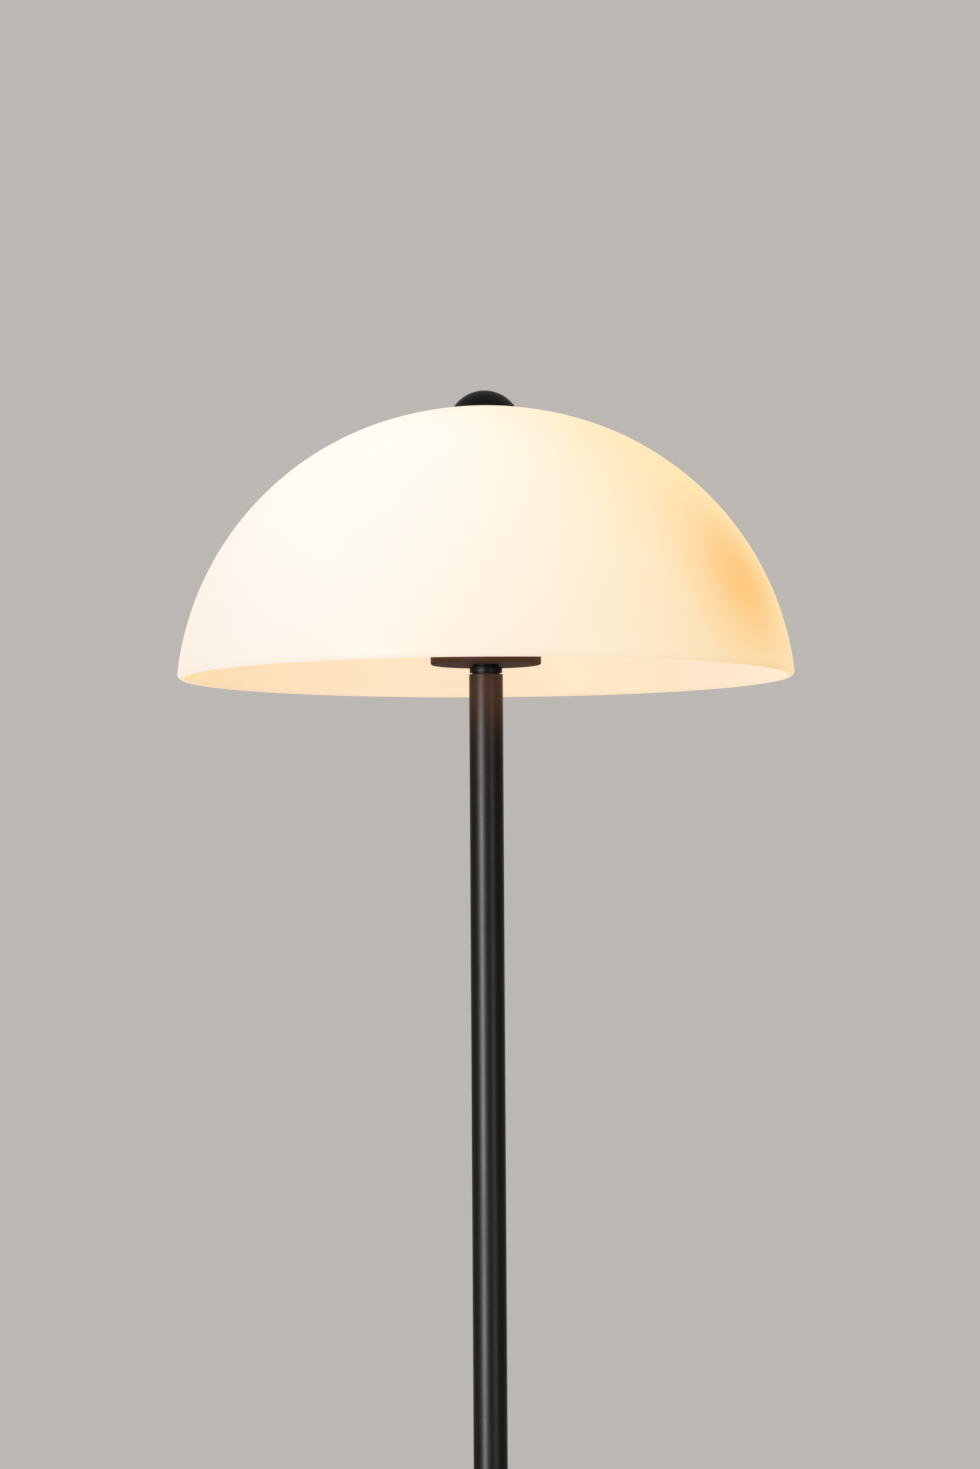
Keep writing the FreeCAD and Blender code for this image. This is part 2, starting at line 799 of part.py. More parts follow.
def make_bulb(number):
    """Small globe bulb: tip contact, screw cap, plastic body and a hollow globe."""
    label = number + 1
    insulator = size.insulator_diameter / 2
    top = size.insulator_height
    contact = turned(f"bulb_contact_{label}", [
        (0, 0),
        (size.tip_diameter / 2, 0),
        (size.tip_diameter / 2, size.tip_height),
        (insulator, size.tip_height + size.insulator_slope),
        (insulator, top),
        (0, top),
    ])
    wall = size.screw_cap_wall
    bottom = top + size.contact_gap
    shoulder = bottom + cap_radius - insulator
    end = size.screw_cap_end
    cap = turned(f"bulb_cap_{label}", [
        (0, bottom),
        (insulator, bottom),
        (cap_radius, shoulder),
        (cap_radius, end),
        (cap_radius - wall, end),
        (cap_radius - wall, shoulder + wall / 2),
        (insulator - wall / 2, bottom + wall),
        (0, bottom + wall),
    ])
    globe = size.globe_diameter / 2
    centre = size.bulb_length - globe
    joint = end + size.bulb_body_length
    inner = globe - size.globe_wall
    outer_joint = height_on_arc(globe, centre - joint)
    inner_joint = height_on_arc(inner, centre - joint)
    plug = cap_radius - wall - size.plug_gap
    body = turned(f"bulb_body_{label}", [
        (0, end - size.bulb_neck_plug),
        (plug, end - size.bulb_neck_plug),
        (plug, end),
        (size.bulb_collar_diameter / 2, end, size.bulb_body_arc),
        (outer_joint, joint),
        (0, joint),
    ])
    glass = turned(f"bulb_globe_{label}", [
        (inner_joint, joint),
        (outer_joint, joint, globe),
        (0, size.bulb_length),
        (0, size.bulb_length - size.globe_wall, -inner),
    ])
    for piece in (contact, cap, body, glass):
        keep(put_on_arm(piece, number, bulb_level))


# ---------------------------------------------------------------- pole

def make_neck():
    """Turned collar in the pole's end: a ring between two grooves, under the pan."""
    groove = size.neck_groove_diameter / 2
    ring = size.neck_ring_diameter / 2
    top = size.neck_top_diameter / 2
    chamfer = size.neck_ring_chamfer
    low = size.neck_groove
    high = low + size.neck_ring
    keep(turned("neck_collar", [
        (thread_radius, -size.neck_spigot),
        (plug_radius, -size.neck_spigot),
        (plug_radius, 0),
        (groove, 0),
        (groove, low),
        (ring - chamfer, low),
        (ring, low + chamfer),
        (ring, high - chamfer),
        (ring - chamfer, high),
        (top, high),
        (top, high + size.neck_top),
        (thread_radius, high + size.neck_top),
    ], pole_top))


def make_pole():
    """Two screwed tube sections: a plug in each end, and a stud that joins them."""
    keep(tube("pole_lower_tube", tube_bore, tube_radius, size.pole_section, pole_foot))
    keep(tube("pole_upper_tube", tube_bore, tube_radius, size.pole_section, pole_joint))
    keep(tube("pole_foot_plug", thread_radius, plug_radius, size.plug_length, pole_foot))
    stud = size.stud_diameter / 2
    socket = stud + size.thread_gap
    flex_way = size.plug_bore / 2
    keep(turned("joint_socket", [
        (flex_way, -size.plug_length),
        (plug_radius, -size.plug_length),
        (plug_radius, 0),
        (socket, 0),
        (socket, -size.stud_length),
        (flex_way, -size.stud_length),
    ], pole_joint))
    keep(turned("joint_spigot", [
        (flex_way, -size.stud_length),
        (stud, -size.stud_length),
        (stud, 0),
        (plug_radius, 0),
        (plug_radius, size.plug_length),
        (flex_way, size.plug_length),
    ], pole_joint))
    bore = tube_radius + size.foot_collar_gap
    wide = size.foot_collar_diameter / 2
    narrow = bore + size.pole_wall
    keep(turned("foot_collar", [
        (bore, 0),
        (wide, 0),
        (wide, size.foot_collar_edge, -size.foot_collar_cove),
        (narrow, size.foot_collar_height),
        (bore, size.foot_collar_height),
    ], pole_foot))


def make_flex():
    """Supply flex from the block in the base, up the pole and out of the rod's window."""
    body = new_body("pole_flex")
    low = block_level + size.flex_entry
    start = sketch_on(body, "XZ_Plane", "flex_end", -size.block_start)
    draw_circle(start, 0, low, size.flex_diameter / 2)
    high = pan_floor + size.flex_exit
    end = size.terminal_inside / 2 - size.terminal_slack
    pipe(body, start, "YZ_Plane", [
        (size.block_start, low),
        (size.flex_bend, low, -size.flex_bend),
        (0, low + size.flex_bend),
        (0, high - size.flex_top_bend, -size.flex_top_bend),
        (size.flex_top_bend, high),
        (end, high),
    ])
    keep(body)


# ---------------------------------------------------------------- base

base_radius = size.base_diameter / 2
gland_shank = size.gland_length - size.gland_flange
recess_roof = size.felt_thickness + size.recess_depth
nut_seat = recess_roof - size.washer_thickness - size.nut_height


def cover_arc(drop, dome):
    """Corners of the domed top, from its edge to its flat middle, drop below the outside."""
    edge = base_radius - size.base_round
    return (edge, size.base_edge_height - drop, dome), (
        size.base_flat_diameter / 2, size.base_height - drop)


def make_base_cover():
    """Spun steel cover: a straight skirt, a rolled corner and a low dome."""
    sheet_wall = size.base_sheet
    bore = thread_radius
    corner = size.base_edge_height - size.base_round
    outer, flat = cover_arc(as_size(0), size.base_dome)
    inner, inner_flat = cover_arc(sheet_wall, None)
    shell = turned("cover_shell", [
        (base_radius, size.base_lift),
        (base_radius, corner, size.base_round),
        outer,
        flat,
        (bore, size.base_height),
        (bore, size.base_height - sheet_wall),
        (*inner_flat, sheet_wall - size.base_dome),
        (*inner[:2], sheet_wall - size.base_round),
        (base_radius - sheet_wall, corner),
        (base_radius - sheet_wall, size.base_lift),
    ])
    hole = cylinder("cover_hole", size.gland_diameter / 2 + size.gland_gap, size.gland_length)
    keep(cut("base_cover", shell, [aim_back(hole, base_radius - gland_shank)]))


def aim_back(shape, start):
    """Turns a piece's +Z towards the back, at the gland's height, starting start from the axis."""
    towards_back = FreeCAD.Rotation(FreeCAD.Vector(1, 0, 0), -90)
    shape.Placement = FreeCAD.Placement(FreeCAD.Vector(0, 0, 0), towards_back)
    return shift(shape, y=start, z=size.gland_height)


def screw_place(shape, number):
    azimuth = as_size(360 / SCREWS * (number + 0.5))
    reach = size.screw_circle / 2
    return shift(shape, x=reach * cosine(azimuth), y=reach * sine(azimuth))


def make_base_weight():
    """Cast iron disc: domed top, recess for the nut and the terminal block, cable channel."""
    rebate = size.plate_diameter / 2 + size.plate_gap
    rebate_depth = size.felt_thickness + size.plate_thickness
    recess = size.recess_diameter / 2
    bottom = size.felt_thickness
    drop = size.base_sheet + size.cover_gap
    edge, flat = cover_arc(drop, size.base_dome - size.base_sheet)
    disc = turned("weight_disc", [
        (rebate, bottom),
        (edge[0], bottom),
        edge,
        flat,
        (thread_radius, size.base_height - drop),
        (thread_radius, recess_roof),
        (recess, recess_roof),
        (recess, rebate_depth),
        (rebate, rebate_depth),
    ])
    channel = doc.addObject("Part::Box", "cable_channel")
    channel.setExpression("Length", size.channel_width.formula)
    channel.setExpression("Width", base_radius.formula)
    channel.setExpression("Height", size.channel_depth.formula)
    shift(channel, x=-size.channel_width / 2, z=bottom)
    holes = []
    for number in range(SCREWS):
        radius = size.screw_diameter / 2 + size.screw_gap
        hole = cylinder(f"screw_hole_{number + 1}", radius, size.screw_length + bottom)
        holes.append(screw_place(hole, number))
    keep(cut("base_weight", disc, [channel, *holes]))


def make_base_fittings():
    """Felt ring, access plate with its screws, tie tube, nut, block and cord gland."""
    under = size.felt_thickness
    keep(tube("base_felt", size.felt_hole / 2, size.felt_diameter / 2, under))
    hole = size.screw_diameter / 2 + size.screw_gap
    plate = cylinder("plate_disc", size.plate_diameter / 2, size.plate_thickness)
    holes, screws = [], []
    for number in range(SCREWS):
        drill = cylinder(f"plate_hole_{number + 1}", hole, size.plate_thickness)
        holes.append(screw_place(drill, number))
        screw = turned(f"access_screw_{number + 1}", [
            (0, -size.screw_head),
            (size.screw_head_diameter / 2, -size.screw_head),
            (size.screw_head_diameter / 2, 0),
            (size.screw_diameter / 2, 0),
            (size.screw_diameter / 2, size.screw_length),
            (0, size.screw_length),
        ], under)
        screws.append(screw_place(screw, number))
    keep(lift(cut("access_plate", plate, holes), under))
    keep(group("access_screws", screws))
    keep(tube("tie_washer", thread_radius, size.washer_diameter / 2, size.washer_thickness,
              nut_seat + size.nut_height))
    hex_nut("tie_nut", nut_seat)
    start = nut_seat - size.tie_tail
    length = size.base_height + size.tie_engagement - start
    keep(tube("tie_tube", size.rod_bore / 2, rod_radius, length, start))


def make_block():
    """Two-way terminal block where the supply cord meets the flex in the pole."""
    half = size.block_width / 2
    near = size.block_start
    far = near + size.block_depth
    body = padded("base_block", "XY_Plane", [
        (-half, near), (half, near), (half, far), (-half, far)], [], size.block_height)
    solid = body.Tip
    wells = sketch_on(body, "XY_Plane", "block_wells", size.block_height)
    for side in (-1, 1):
        draw_circle(wells, half / 2 * side, near + size.block_depth / 2, size.block_screw / 2)
    pocket = body.newObject("PartDesign::Pocket", "block_pocket")
    pocket.Profile = wells
    pocket.setExpression("Length", size.block_screw_depth.formula)
    body.Tip = pocket
    doc.recompute()
    if pocket.Shape.Volume >= solid.Shape.Volume:
        raise RuntimeError("the block's wells cut nothing")
    keep(lift(body, block_level))


def make_gland():
    """Flanged nylon bush where the supply cord enters at the back of the base."""
    bore = size.gland_bore / 2
    flange = size.gland_flange_diameter / 2
    bush = turned("cord_gland", [
        (bore, -gland_shank),
        (size.gland_diameter / 2, -gland_shank),
        (size.gland_diameter / 2, 0),
        (flange, 0),
        (flange, size.gland_flange),
        (bore, size.gland_flange),
    ])
    keep(aim_back(bush, base_radius))


def check_and_write():
    """Stops on any failed object or shape, then writes each piece to a file of its own."""
    doc.recompute()
    for item in doc.Objects:
        if "Invalid" in item.State or "Error" in item.State:
            raise RuntimeError(f"{item.Label} failed: {item.State}")
    for piece in pieces:
        if piece.Shape.isNull() or not piece.Shape.isValid() or piece.Shape.Volume <= 0:
            raise RuntimeError(f"{piece.Label} has no sound shape")
    os.makedirs("parts", exist_ok=True)
    for piece in pieces:
        piece.Shape.exportStep(f"parts/{piece.Label}.step")
    print(f"{len(pieces)} pieces, top at {max(p.Shape.BoundBox.ZMax for p in pieces):.2f} mm")


make_glass()
make_crown_fittings()
make_seat()
make_rod()
make_pan()
make_hub()
make_wiring()
for arm in range(ARMS):
    make_holder(arm)
    make_bulb(arm)
make_holder_fittings()
make_neck()
make_pole()
make_flex()
make_base_cover()
make_base_weight()
make_base_fittings()
make_block()
make_gland()
check_and_write()
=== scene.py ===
# %% [markdown]
# # A mushroom floor lamp
# The real lamp is a blown opal-glass dome, 400 mm across, on a thin black pole with a weighted
# round base.  Inside the dome three small globe bulbs stand out from a cast hub.  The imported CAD
# model gives every piece its place; this script gives the pieces their surfaces.

import math

import bmesh
import bpy
from mathutils import Matrix, Vector


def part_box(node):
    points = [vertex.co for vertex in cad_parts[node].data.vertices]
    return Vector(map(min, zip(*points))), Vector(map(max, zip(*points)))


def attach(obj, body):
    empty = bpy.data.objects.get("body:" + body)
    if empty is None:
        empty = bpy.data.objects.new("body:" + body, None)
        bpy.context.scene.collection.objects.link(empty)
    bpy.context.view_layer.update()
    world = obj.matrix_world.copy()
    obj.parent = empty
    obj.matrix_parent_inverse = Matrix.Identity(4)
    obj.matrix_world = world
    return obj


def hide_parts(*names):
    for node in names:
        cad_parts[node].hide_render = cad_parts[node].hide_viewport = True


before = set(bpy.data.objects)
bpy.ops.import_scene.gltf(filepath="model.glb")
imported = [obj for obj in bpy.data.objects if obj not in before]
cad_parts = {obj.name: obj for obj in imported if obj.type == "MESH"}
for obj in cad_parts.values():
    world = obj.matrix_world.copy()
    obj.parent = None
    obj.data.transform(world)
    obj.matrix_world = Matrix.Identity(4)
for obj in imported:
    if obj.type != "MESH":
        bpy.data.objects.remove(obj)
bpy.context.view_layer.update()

# %% [markdown]
# Every finished object keeps its place in its mesh, so the sizes below are read from the CAD
# nodes' own boxes.  A piece that is turned on the pole's axis is as wide as its box.

# %% Places read from the frame
MM = 0.001


def millimetres(values):
    return [round(value / MM, 2) for value in values]


def bottom(node):
    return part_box(node)[0].z


def top(node):
    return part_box(node)[1].z


def radius(node):
    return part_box(node)[1].x


rim_level = bottom("glass_shade")
crown_level = top("glass_shade")
pan_level = bottom("lamp_pan")
print("rim, crown and pan at", millimetres([rim_level, crown_level, pan_level]), "mm")

# %% [markdown]
# The three holders stand round the rod, 120 degrees apart, and rise 30 degrees.  A bulb's own axis
# starts at the point where the three arms meet.  The hub's foot is on the pan's floor, so that
# point is found from there.

# %% The three arms
ARMS = 3
ARM_RISE = math.radians(30)
FIRST_ARM = math.radians(110)
HUB_CENTRE_HEIGHT = 16.8 * MM
ARM_CENTRE = Vector((0, 0, pan_level + HUB_CENTRE_HEIGHT))
GLOBE_REACH = 100.5 * MM


def arm_angle(number):
    return FIRST_ARM + math.tau * number / ARMS


def arm_direction(number):
    angle, flat = arm_angle(number), math.cos(ARM_RISE)
    return Vector((flat * math.cos(angle), flat * math.sin(angle), math.sin(ARM_RISE)))


def arm_place(number, distance):
    """The matrix that stands a piece's Z axis on an arm, at a distance from where the arms meet."""
    direction = arm_direction(number)
    tilt = direction.to_track_quat("Z", "Y").to_matrix().to_4x4()
    return Matrix.Translation(ARM_CENTRE + direction * distance) @ tilt


bulb_places = [ARM_CENTRE + arm_direction(number) * GLOBE_REACH for number in range(ARMS)]
for number, place in enumerate(bulb_places, start=1):
    low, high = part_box(f"bulb_globe_{number}")
    print("bulb", number, millimetres(place), "box centre", millimetres((low + high) / 2))

# %% [markdown]
# ## Node trees
# A few short helpers keep the trees below readable.  They add a node with its values, do sums on
# numbers and on vectors, and add a tree's named sockets.

# %% Helpers for node trees
def add_node(tree, kind, sockets=None, **settings):
    """A new node.  A socket's value is a plain value or another node's output."""
    node = tree.nodes.new(kind)
    for name, value in settings.items():
        setattr(node, name, value)
    for key, value in (sockets or {}).items():
        if isinstance(value, bpy.types.NodeSocket):
            tree.links.new(value, node.inputs[key])
        else:
            node.inputs[key].default_value = value
    return node


def calculate(tree, operation, *values):
    """The result of one sum on numbers or sockets."""
    sockets = dict(enumerate(values))
    return add_node(tree, "ShaderNodeMath", sockets, operation=operation).outputs[0]


def product(tree, first, *others):
    for other in others:
        first = calculate(tree, "MULTIPLY", first, other)
    return first


def calculate_vector(tree, operation, *values):
    """The result of one sum on vectors.  The second value of SCALE is a number."""
    names = (0, "Scale") if operation == "SCALE" else (0, 1)
    sockets = dict(zip(names, values))
    node = add_node(tree, "ShaderNodeVectorMath", sockets, operation=operation)
    return node.outputs["Value" if operation in ("DISTANCE", "LENGTH") else "Vector"]


def from_axes(tree, **axes):
    return add_node(tree, "ShaderNodeCombineXYZ", axes).outputs[0]


def add_sockets(tree, side, *sockets):
    for name, kind, *value in sockets:
        socket = tree.interface.new_socket(name, in_out=side, socket_type=f"NodeSocket{kind}")
        if value:
            socket.default_value = value[0]


def end_tree(tree, geometry, finish):
    """The end of each Geometry Nodes tree here: real faces, with their finish."""
    real = add_node(tree, "GeometryNodeRealizeInstances", {"Geometry": geometry}).outputs[0]
    dressed = add_node(tree, "GeometryNodeSetMaterial", {"Geometry": real, "Material": finish})
    add_node(tree, "NodeGroupOutput", {"Piece": dressed.outputs[0]})
    return tree


# %% [markdown]
# ## The lathe
# Most of this lamp is round: the glass is blown and turned in a mould, the finial and the collar
# are turned from bar, and the pan is spun.  So one Geometry Nodes tree makes them all from a half
# profile, as a lathe does.  It lays a grid round the axis, one row for each profile point, and
# moves each grid point to its place.  It can also cut a thread, by moving the points in and out
# along a helix, and fray an edge with a noise, for felt.  Spin in edit mode would do the turning,
# but not the thread.
#
# Each profile point has a number, its side, which goes to every point that it makes.  The glass
# uses it to tell its inside from its outside.

# %% Build the lathe tree
FRAY_SCALE = 320.0
WELD_GAP = 1e-6


def build_lathe():
    tree = bpy.data.node_groups.new("lathe", "GeometryNodeTree")
    add_sockets(
        tree, "INPUT",
        ("Profile", "Geometry"),
        ("Steps round", "Int", 192),
        ("Closed profile", "Bool", True),
        ("Thread pitch", "Float", MM),
        ("Thread depth", "Float", 0.0),
        ("Thread from", "Float", 0.0),
        ("Thread to", "Float", 0.0),
        ("Thread beyond", "Float", 0.0),
        ("Unevenness", "Float", 0.0),
        ("Finish", "Material"),
    )
    add_sockets(tree, "OUTPUT", ("Piece", "Geometry"))
    given = add_node(tree, "NodeGroupInput").outputs
    profile, steps = given["Profile"], given["Steps round"]
    counts = add_node(tree, "GeometryNodeAttributeDomainSize", {"Geometry": profile}).outputs
    points = counts["Point Count"]
    rows = calculate(tree, "ADD", points, given["Closed profile"])
    columns = calculate(tree, "ADD", steps, 1)
    grid = add_node(tree, "GeometryNodeMeshGrid", {"Vertices X": rows, "Vertices Y": columns})

    index = add_node(tree, "GeometryNodeInputIndex").outputs[0]
    middle = calculate(tree, "ADD", index, 0.5)
    row = calculate(tree, "FLOOR", calculate(tree, "DIVIDE", middle, columns))
    column = calculate(tree, "SUBTRACT", index, product(tree, row, columns))
    share = calculate(tree, "DIVIDE", column, steps)
    angle = product(tree, share, math.tau)
    source = calculate(tree, "MODULO", row, points)

    def sampled(value, kind):
        """What the profile says at the point that this grid point comes from."""
        sockets = {"Geometry": profile, "Value": value, "Index": source}
        return add_node(tree, "GeometryNodeSampleIndex", sockets, data_type=kind).outputs["Value"]

    position = add_node(tree, "GeometryNodeInputPosition").outputs[0]
    place = sampled(position, "FLOAT_VECTOR")
    place = add_node(tree, "ShaderNodeSeparateXYZ", {0: place}).outputs
    reach, height = place["X"], place["Z"]

    pitch = given["Thread pitch"]
    phase = calculate(tree, "SUBTRACT", calculate(tree, "DIVIDE", height, pitch), share)
    ridge = calculate(tree, "PINGPONG", product(tree, phase, 2.0), 1.0)
    ridge = add_node(tree, "ShaderNodeMapRange", {"Value": ridge}, interpolation_type="SMOOTHSTEP")
    start = add_node(tree, "ShaderNodeMapRange", {
        "Value": height, "From Min": given["Thread from"],
        "From Max": calculate(tree, "ADD", given["Thread from"], pitch)}).outputs[0]
    end = add_node(tree, "ShaderNodeMapRange", {
        "Value": height, "From Max": given["Thread to"],
        "From Min": calculate(tree, "SUBTRACT", given["Thread to"], pitch),
        "To Min": 1.0, "To Max": 0.0}).outputs[0]
    outer = calculate(tree, "GREATER_THAN", reach, given["Thread beyond"])
    depth = product(tree, ridge.outputs[0], given["Thread depth"])
    reach = calculate(tree, "SUBTRACT", reach, product(tree, start, end, outer, depth))

    def placed(reach):
        return from_axes(tree, X=product(tree, reach, calculate(tree, "COSINE", angle)),
                         Y=product(tree, reach, calculate(tree, "SINE", angle)), Z=height)

    waves = add_node(tree, "ShaderNodeTexNoise",
                     {"Vector": placed(reach), "Scale": FRAY_SCALE, "Detail": 3.0}).outputs["Fac"]
    reach = calculate(tree, "SUBTRACT", reach, product(tree, waves, given["Unevenness"]))
    turned = add_node(tree, "GeometryNodeSetPosition",
                      {"Geometry": grid.outputs["Mesh"], "Position": placed(reach)})
    side = add_node(tree, "GeometryNodeInputNamedAttribute", {"Name": "side"}, data_type="FLOAT")
    side = sampled(side.outputs[0], "FLOAT")
    marked = add_node(tree, "GeometryNodeStoreNamedAttribute",
                      {"Geometry": turned.outputs[0], "Name": "side", "Value": side},
                      data_type="FLOAT")
    merged = add_node(tree, "GeometryNodeMergeByDistance",
                      {"Geometry": marked.outputs[0], "Distance": WELD_GAP})
    return end_tree(tree, merged.outputs[0], given["Finish"])


lathe = build_lathe()
print("lathe:", len(lathe.nodes), "nodes")

# %% [markdown]
# A profile is drawn as its corners: how far out, how high, and the radius that breaks the corner.
# A turned edge is never quite sharp, and the small round is what catches the light.

# %% Draw profiles
def rounded(corners, steps=5):
    """Profile points from (reach, height, round) corners, each round drawn as a short arc."""
    points = []
    count = len(corners)
    for index, (reach, height, *size) in enumerate(corners):
        corner = Vector((reach, height))
        if not size:
            points.append(corner)
            continue
        before = (Vector(corners[index - 1][:2]) - corner).normalized()
        after = (Vector(corners[(index + 1) % count][:2]) - corner).normalized()
        half = before.angle(after) / 2
        centre = corner + (before + after).normalized() * (size[0] / math.sin(half))
        start = corner + before * (size[0] / math.tan(half)) - centre
        end = corner + after * (size[0] / math.tan(half)) - centre
        for step in range(steps + 1):
            share = step / steps
            turn = start.angle(end)
            mix = start * math.sin((1 - share) * turn) + end * math.sin(share * turn)
            points.append(centre + mix / math.sin(turn))
    return points


def rows(start, end, step):
    """Evenly spaced levels, about a step apart."""
    count = round((end - start) / step)
    return [start + (end - start) * number / count for number in range(count + 1)]


def arc(centre, size, start, end, steps):
    """Points on an arc, its angles measured from the axis of the lathe."""
    turns = [start + (end - start) * step / steps for step in range(steps + 1)]
    return [Vector(centre) + size * Vector((math.sin(turn), math.cos(turn))) for turn in turns]


def heights(reach, levels):
    """A straight run of profile points, all as far out."""
    return [Vector((reach, level)) for level in levels]


# %% [markdown]
# A tree works on a mesh of bare edges: a profile, or the paths of a cable.  The modifier's inputs
# are set by their sockets' identifiers, before the object is first evaluated.  The evaluated
# result becomes a plain mesh, the modifier goes, and the faces are turned outwards.

# %% Make one piece with a tree
SHARP_ANGLE = math.radians(40)
DOUBLE_GAP = 1e-7


def set_input(modifier, name, value):
    for socket in modifier.node_group.interface.items_tree:
        if socket.item_type == "SOCKET" and socket.in_out == "INPUT" and socket.name == name:
            modifier[socket.identifier] = value


def link(name, mesh):
    piece = bpy.data.objects.new(name, mesh)
    bpy.context.scene.collection.objects.link(piece)
    return piece


def line_mesh(name, paths):
    """A mesh of bare edges along each path of points."""
    mesh = bpy.data.meshes.new(f"{name}_lines")
    points, edges = [], []
    for path in paths:
        first = len(points)
        edges += [(first + number, first + number + 1) for number in range(len(path) - 1)]
        points += path
    mesh.from_pydata(points, edges, [])
    return mesh


def profile_mesh(name, points):
    return line_mesh(name, [[(reach, 0, height) for reach, height in points]])


def make_plain(piece):
    """Replace a piece's modifiers by their result, as a plain mesh with its faces outwards."""
    bpy.context.view_layer.update()
    graph = bpy.context.evaluated_depsgraph_get()
    mesh = bpy.data.meshes.new_from_object(piece.evaluated_get(graph))
    piece.modifiers.clear()
    piece.data = mesh
    shape = bmesh.new()
    shape.from_mesh(mesh)
    bmesh.ops.remove_doubles(shape, verts=shape.verts, dist=DOUBLE_GAP)
    bmesh.ops.recalc_face_normals(shape, faces=shape.faces)
    shape.to_mesh(mesh)
    shape.free()
    mesh.shade_smooth()
    mesh.set_sharp_from_angle(angle=SHARP_ANGLE)


def make_piece(name, mesh, group, inputs):
    """One piece from a mesh of edges, a tree and the tree's inputs."""
    piece = link(name, mesh)
    modifier = piece.modifiers.new(group.name, "NODES")
    modifier.node_group = group
    for label, value in inputs.items():
        set_input(modifier, label, value)
    make_plain(piece)
    print(name, "faces", len(piece.data.polygons))
    return piece


# %% Turn one piece
def turn(name, points, finish, steps=192, sides=None, place=None, uneven=0.0, **thread):
    """Turn one piece on the lathe.  Its profile's points are in metres, round the Z axis."""
    mesh = profile_mesh(name, points)
    mark = mesh.attributes.new("side", "FLOAT", "POINT")
    mark.data.foreach_set("value", sides or [0.0] * len(points))
    inputs = {"Steps round": steps, "Finish": finish, "Unevenness": uneven}
    inputs.update({f"Thread {label}": value for label, value in thread.items()})
    piece = make_piece(name, mesh, lathe, inputs)
    if place:
        piece.data.transform(place)
    return piece


replaced = set()


def stand_for(piece, body, slot, *nodes):
    """Let a new piece ride on a body and take the place of CAD nodes."""
    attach(piece, body)
    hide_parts(*nodes)
    replaced.update(nodes)


# %% [markdown]
# ## Shared surface effects
# Four effects come back on many finishes, so each is a shader node group with named values.  A
# group only works out colours, masks and heights.  The shader itself stays in the material.
#
# Grain is the fine unevenness that every sprayed, cast or moulded surface has.

# %% Surface grain
def shader_group(name, inputs, outputs):
    tree = bpy.data.node_groups.new(name, "ShaderNodeTree")
    add_sockets(tree, "INPUT", *inputs)
    add_sockets(tree, "OUTPUT", *outputs)
    return tree, add_node(tree, "NodeGroupInput").outputs


def noise(tree, scale, detail=2.0, rough=0.5, **sockets):
    place = add_node(tree, "ShaderNodeTexCoord").outputs["Object"]
    values = {"Vector": place, "Scale": scale, "Detail": detail, "Roughness": rough, **sockets}
    return add_node(tree, "ShaderNodeTexNoise", values).outputs["Fac"]


def ramp(tree, value, low, high, to_low=0.0, to_high=1.0):
    """A smooth step from one value to another."""
    sockets = {"Value": value, "From Min": low, "From Max": high,
               "To Min": to_low, "To Max": to_high}
    return add_node(tree, "ShaderNodeMapRange", sockets, interpolation_type="SMOOTHSTEP").outputs[0]


def mix_numbers(tree, share, first, second):
    return add_node(tree, "ShaderNodeMix", {0: share, 2: first, 3: second}).outputs[0]


def mix_colour(tree, share, first, second):
    sockets = {0: share, 6: first, 7: second}
    return add_node(tree, "ShaderNodeMix", sockets, data_type="RGBA").outputs[2]


def build_grain():
    tree, given = shader_group(
        "surface_grain",
        [("Coarse scale", "Float", 60.0), ("Fine scale", "Float", 900.0),
         ("Fine share", "Float", 0.5)],
        [("Height", "Float"), ("Patches", "Float")],
    )
    coarse = noise(tree, given["Coarse scale"], detail=3.0)
    fine = noise(tree, given["Fine scale"], detail=2.0)
    height = mix_numbers(tree, given["Fine share"], coarse, fine)
    add_node(tree, "NodeGroupOutput", {"Height": height, "Patches": ramp(tree, coarse, 0.35, 0.65)})
    return tree


grain_group = build_grain()

# %% [markdown]
# Dust settles on faces that look up.  The mask is the normal's upward part, broken up by noise.

# %% Settled dust
def build_dust():
    tree, given = shader_group(
        "settled_dust",
        [("Color", "Color", (0.5, 0.5, 0.5, 1)), ("Dust color", "Color", (0.45, 0.42, 0.38, 1)),
         ("Amount", "Float", 0.1), ("Scale", "Float", 240.0)],
        [("Color", "Color"), ("Mask", "Float")],
    )
    normal = add_node(tree, "ShaderNodeNewGeometry").outputs["Normal"]
    up = add_node(tree, "ShaderNodeSeparateXYZ", {0: normal}).outputs["Z"]
    facing = ramp(tree, up, 0.25, 1.0)
    specks = ramp(tree, noise(tree, given["Scale"], detail=6.0, rough=0.7), 0.38, 0.72)
    drift = ramp(tree, noise(tree, 14.0), 0.3, 0.7, 0.35, 1.0)
    mask = product(tree, facing, specks, drift, given["Amount"])
    colour = mix_colour(tree, mask, given["Color"], given["Dust color"])
    add_node(tree, "NodeGroupOutput", {"Color": colour, "Mask": mask})
    return tree


dust_group = build_dust()

# %% [markdown]
# Fingers and cloths leave faint smears.  They hardly change the colour, but they change how sharp
# a reflection is, so this group gives a roughness between two values.

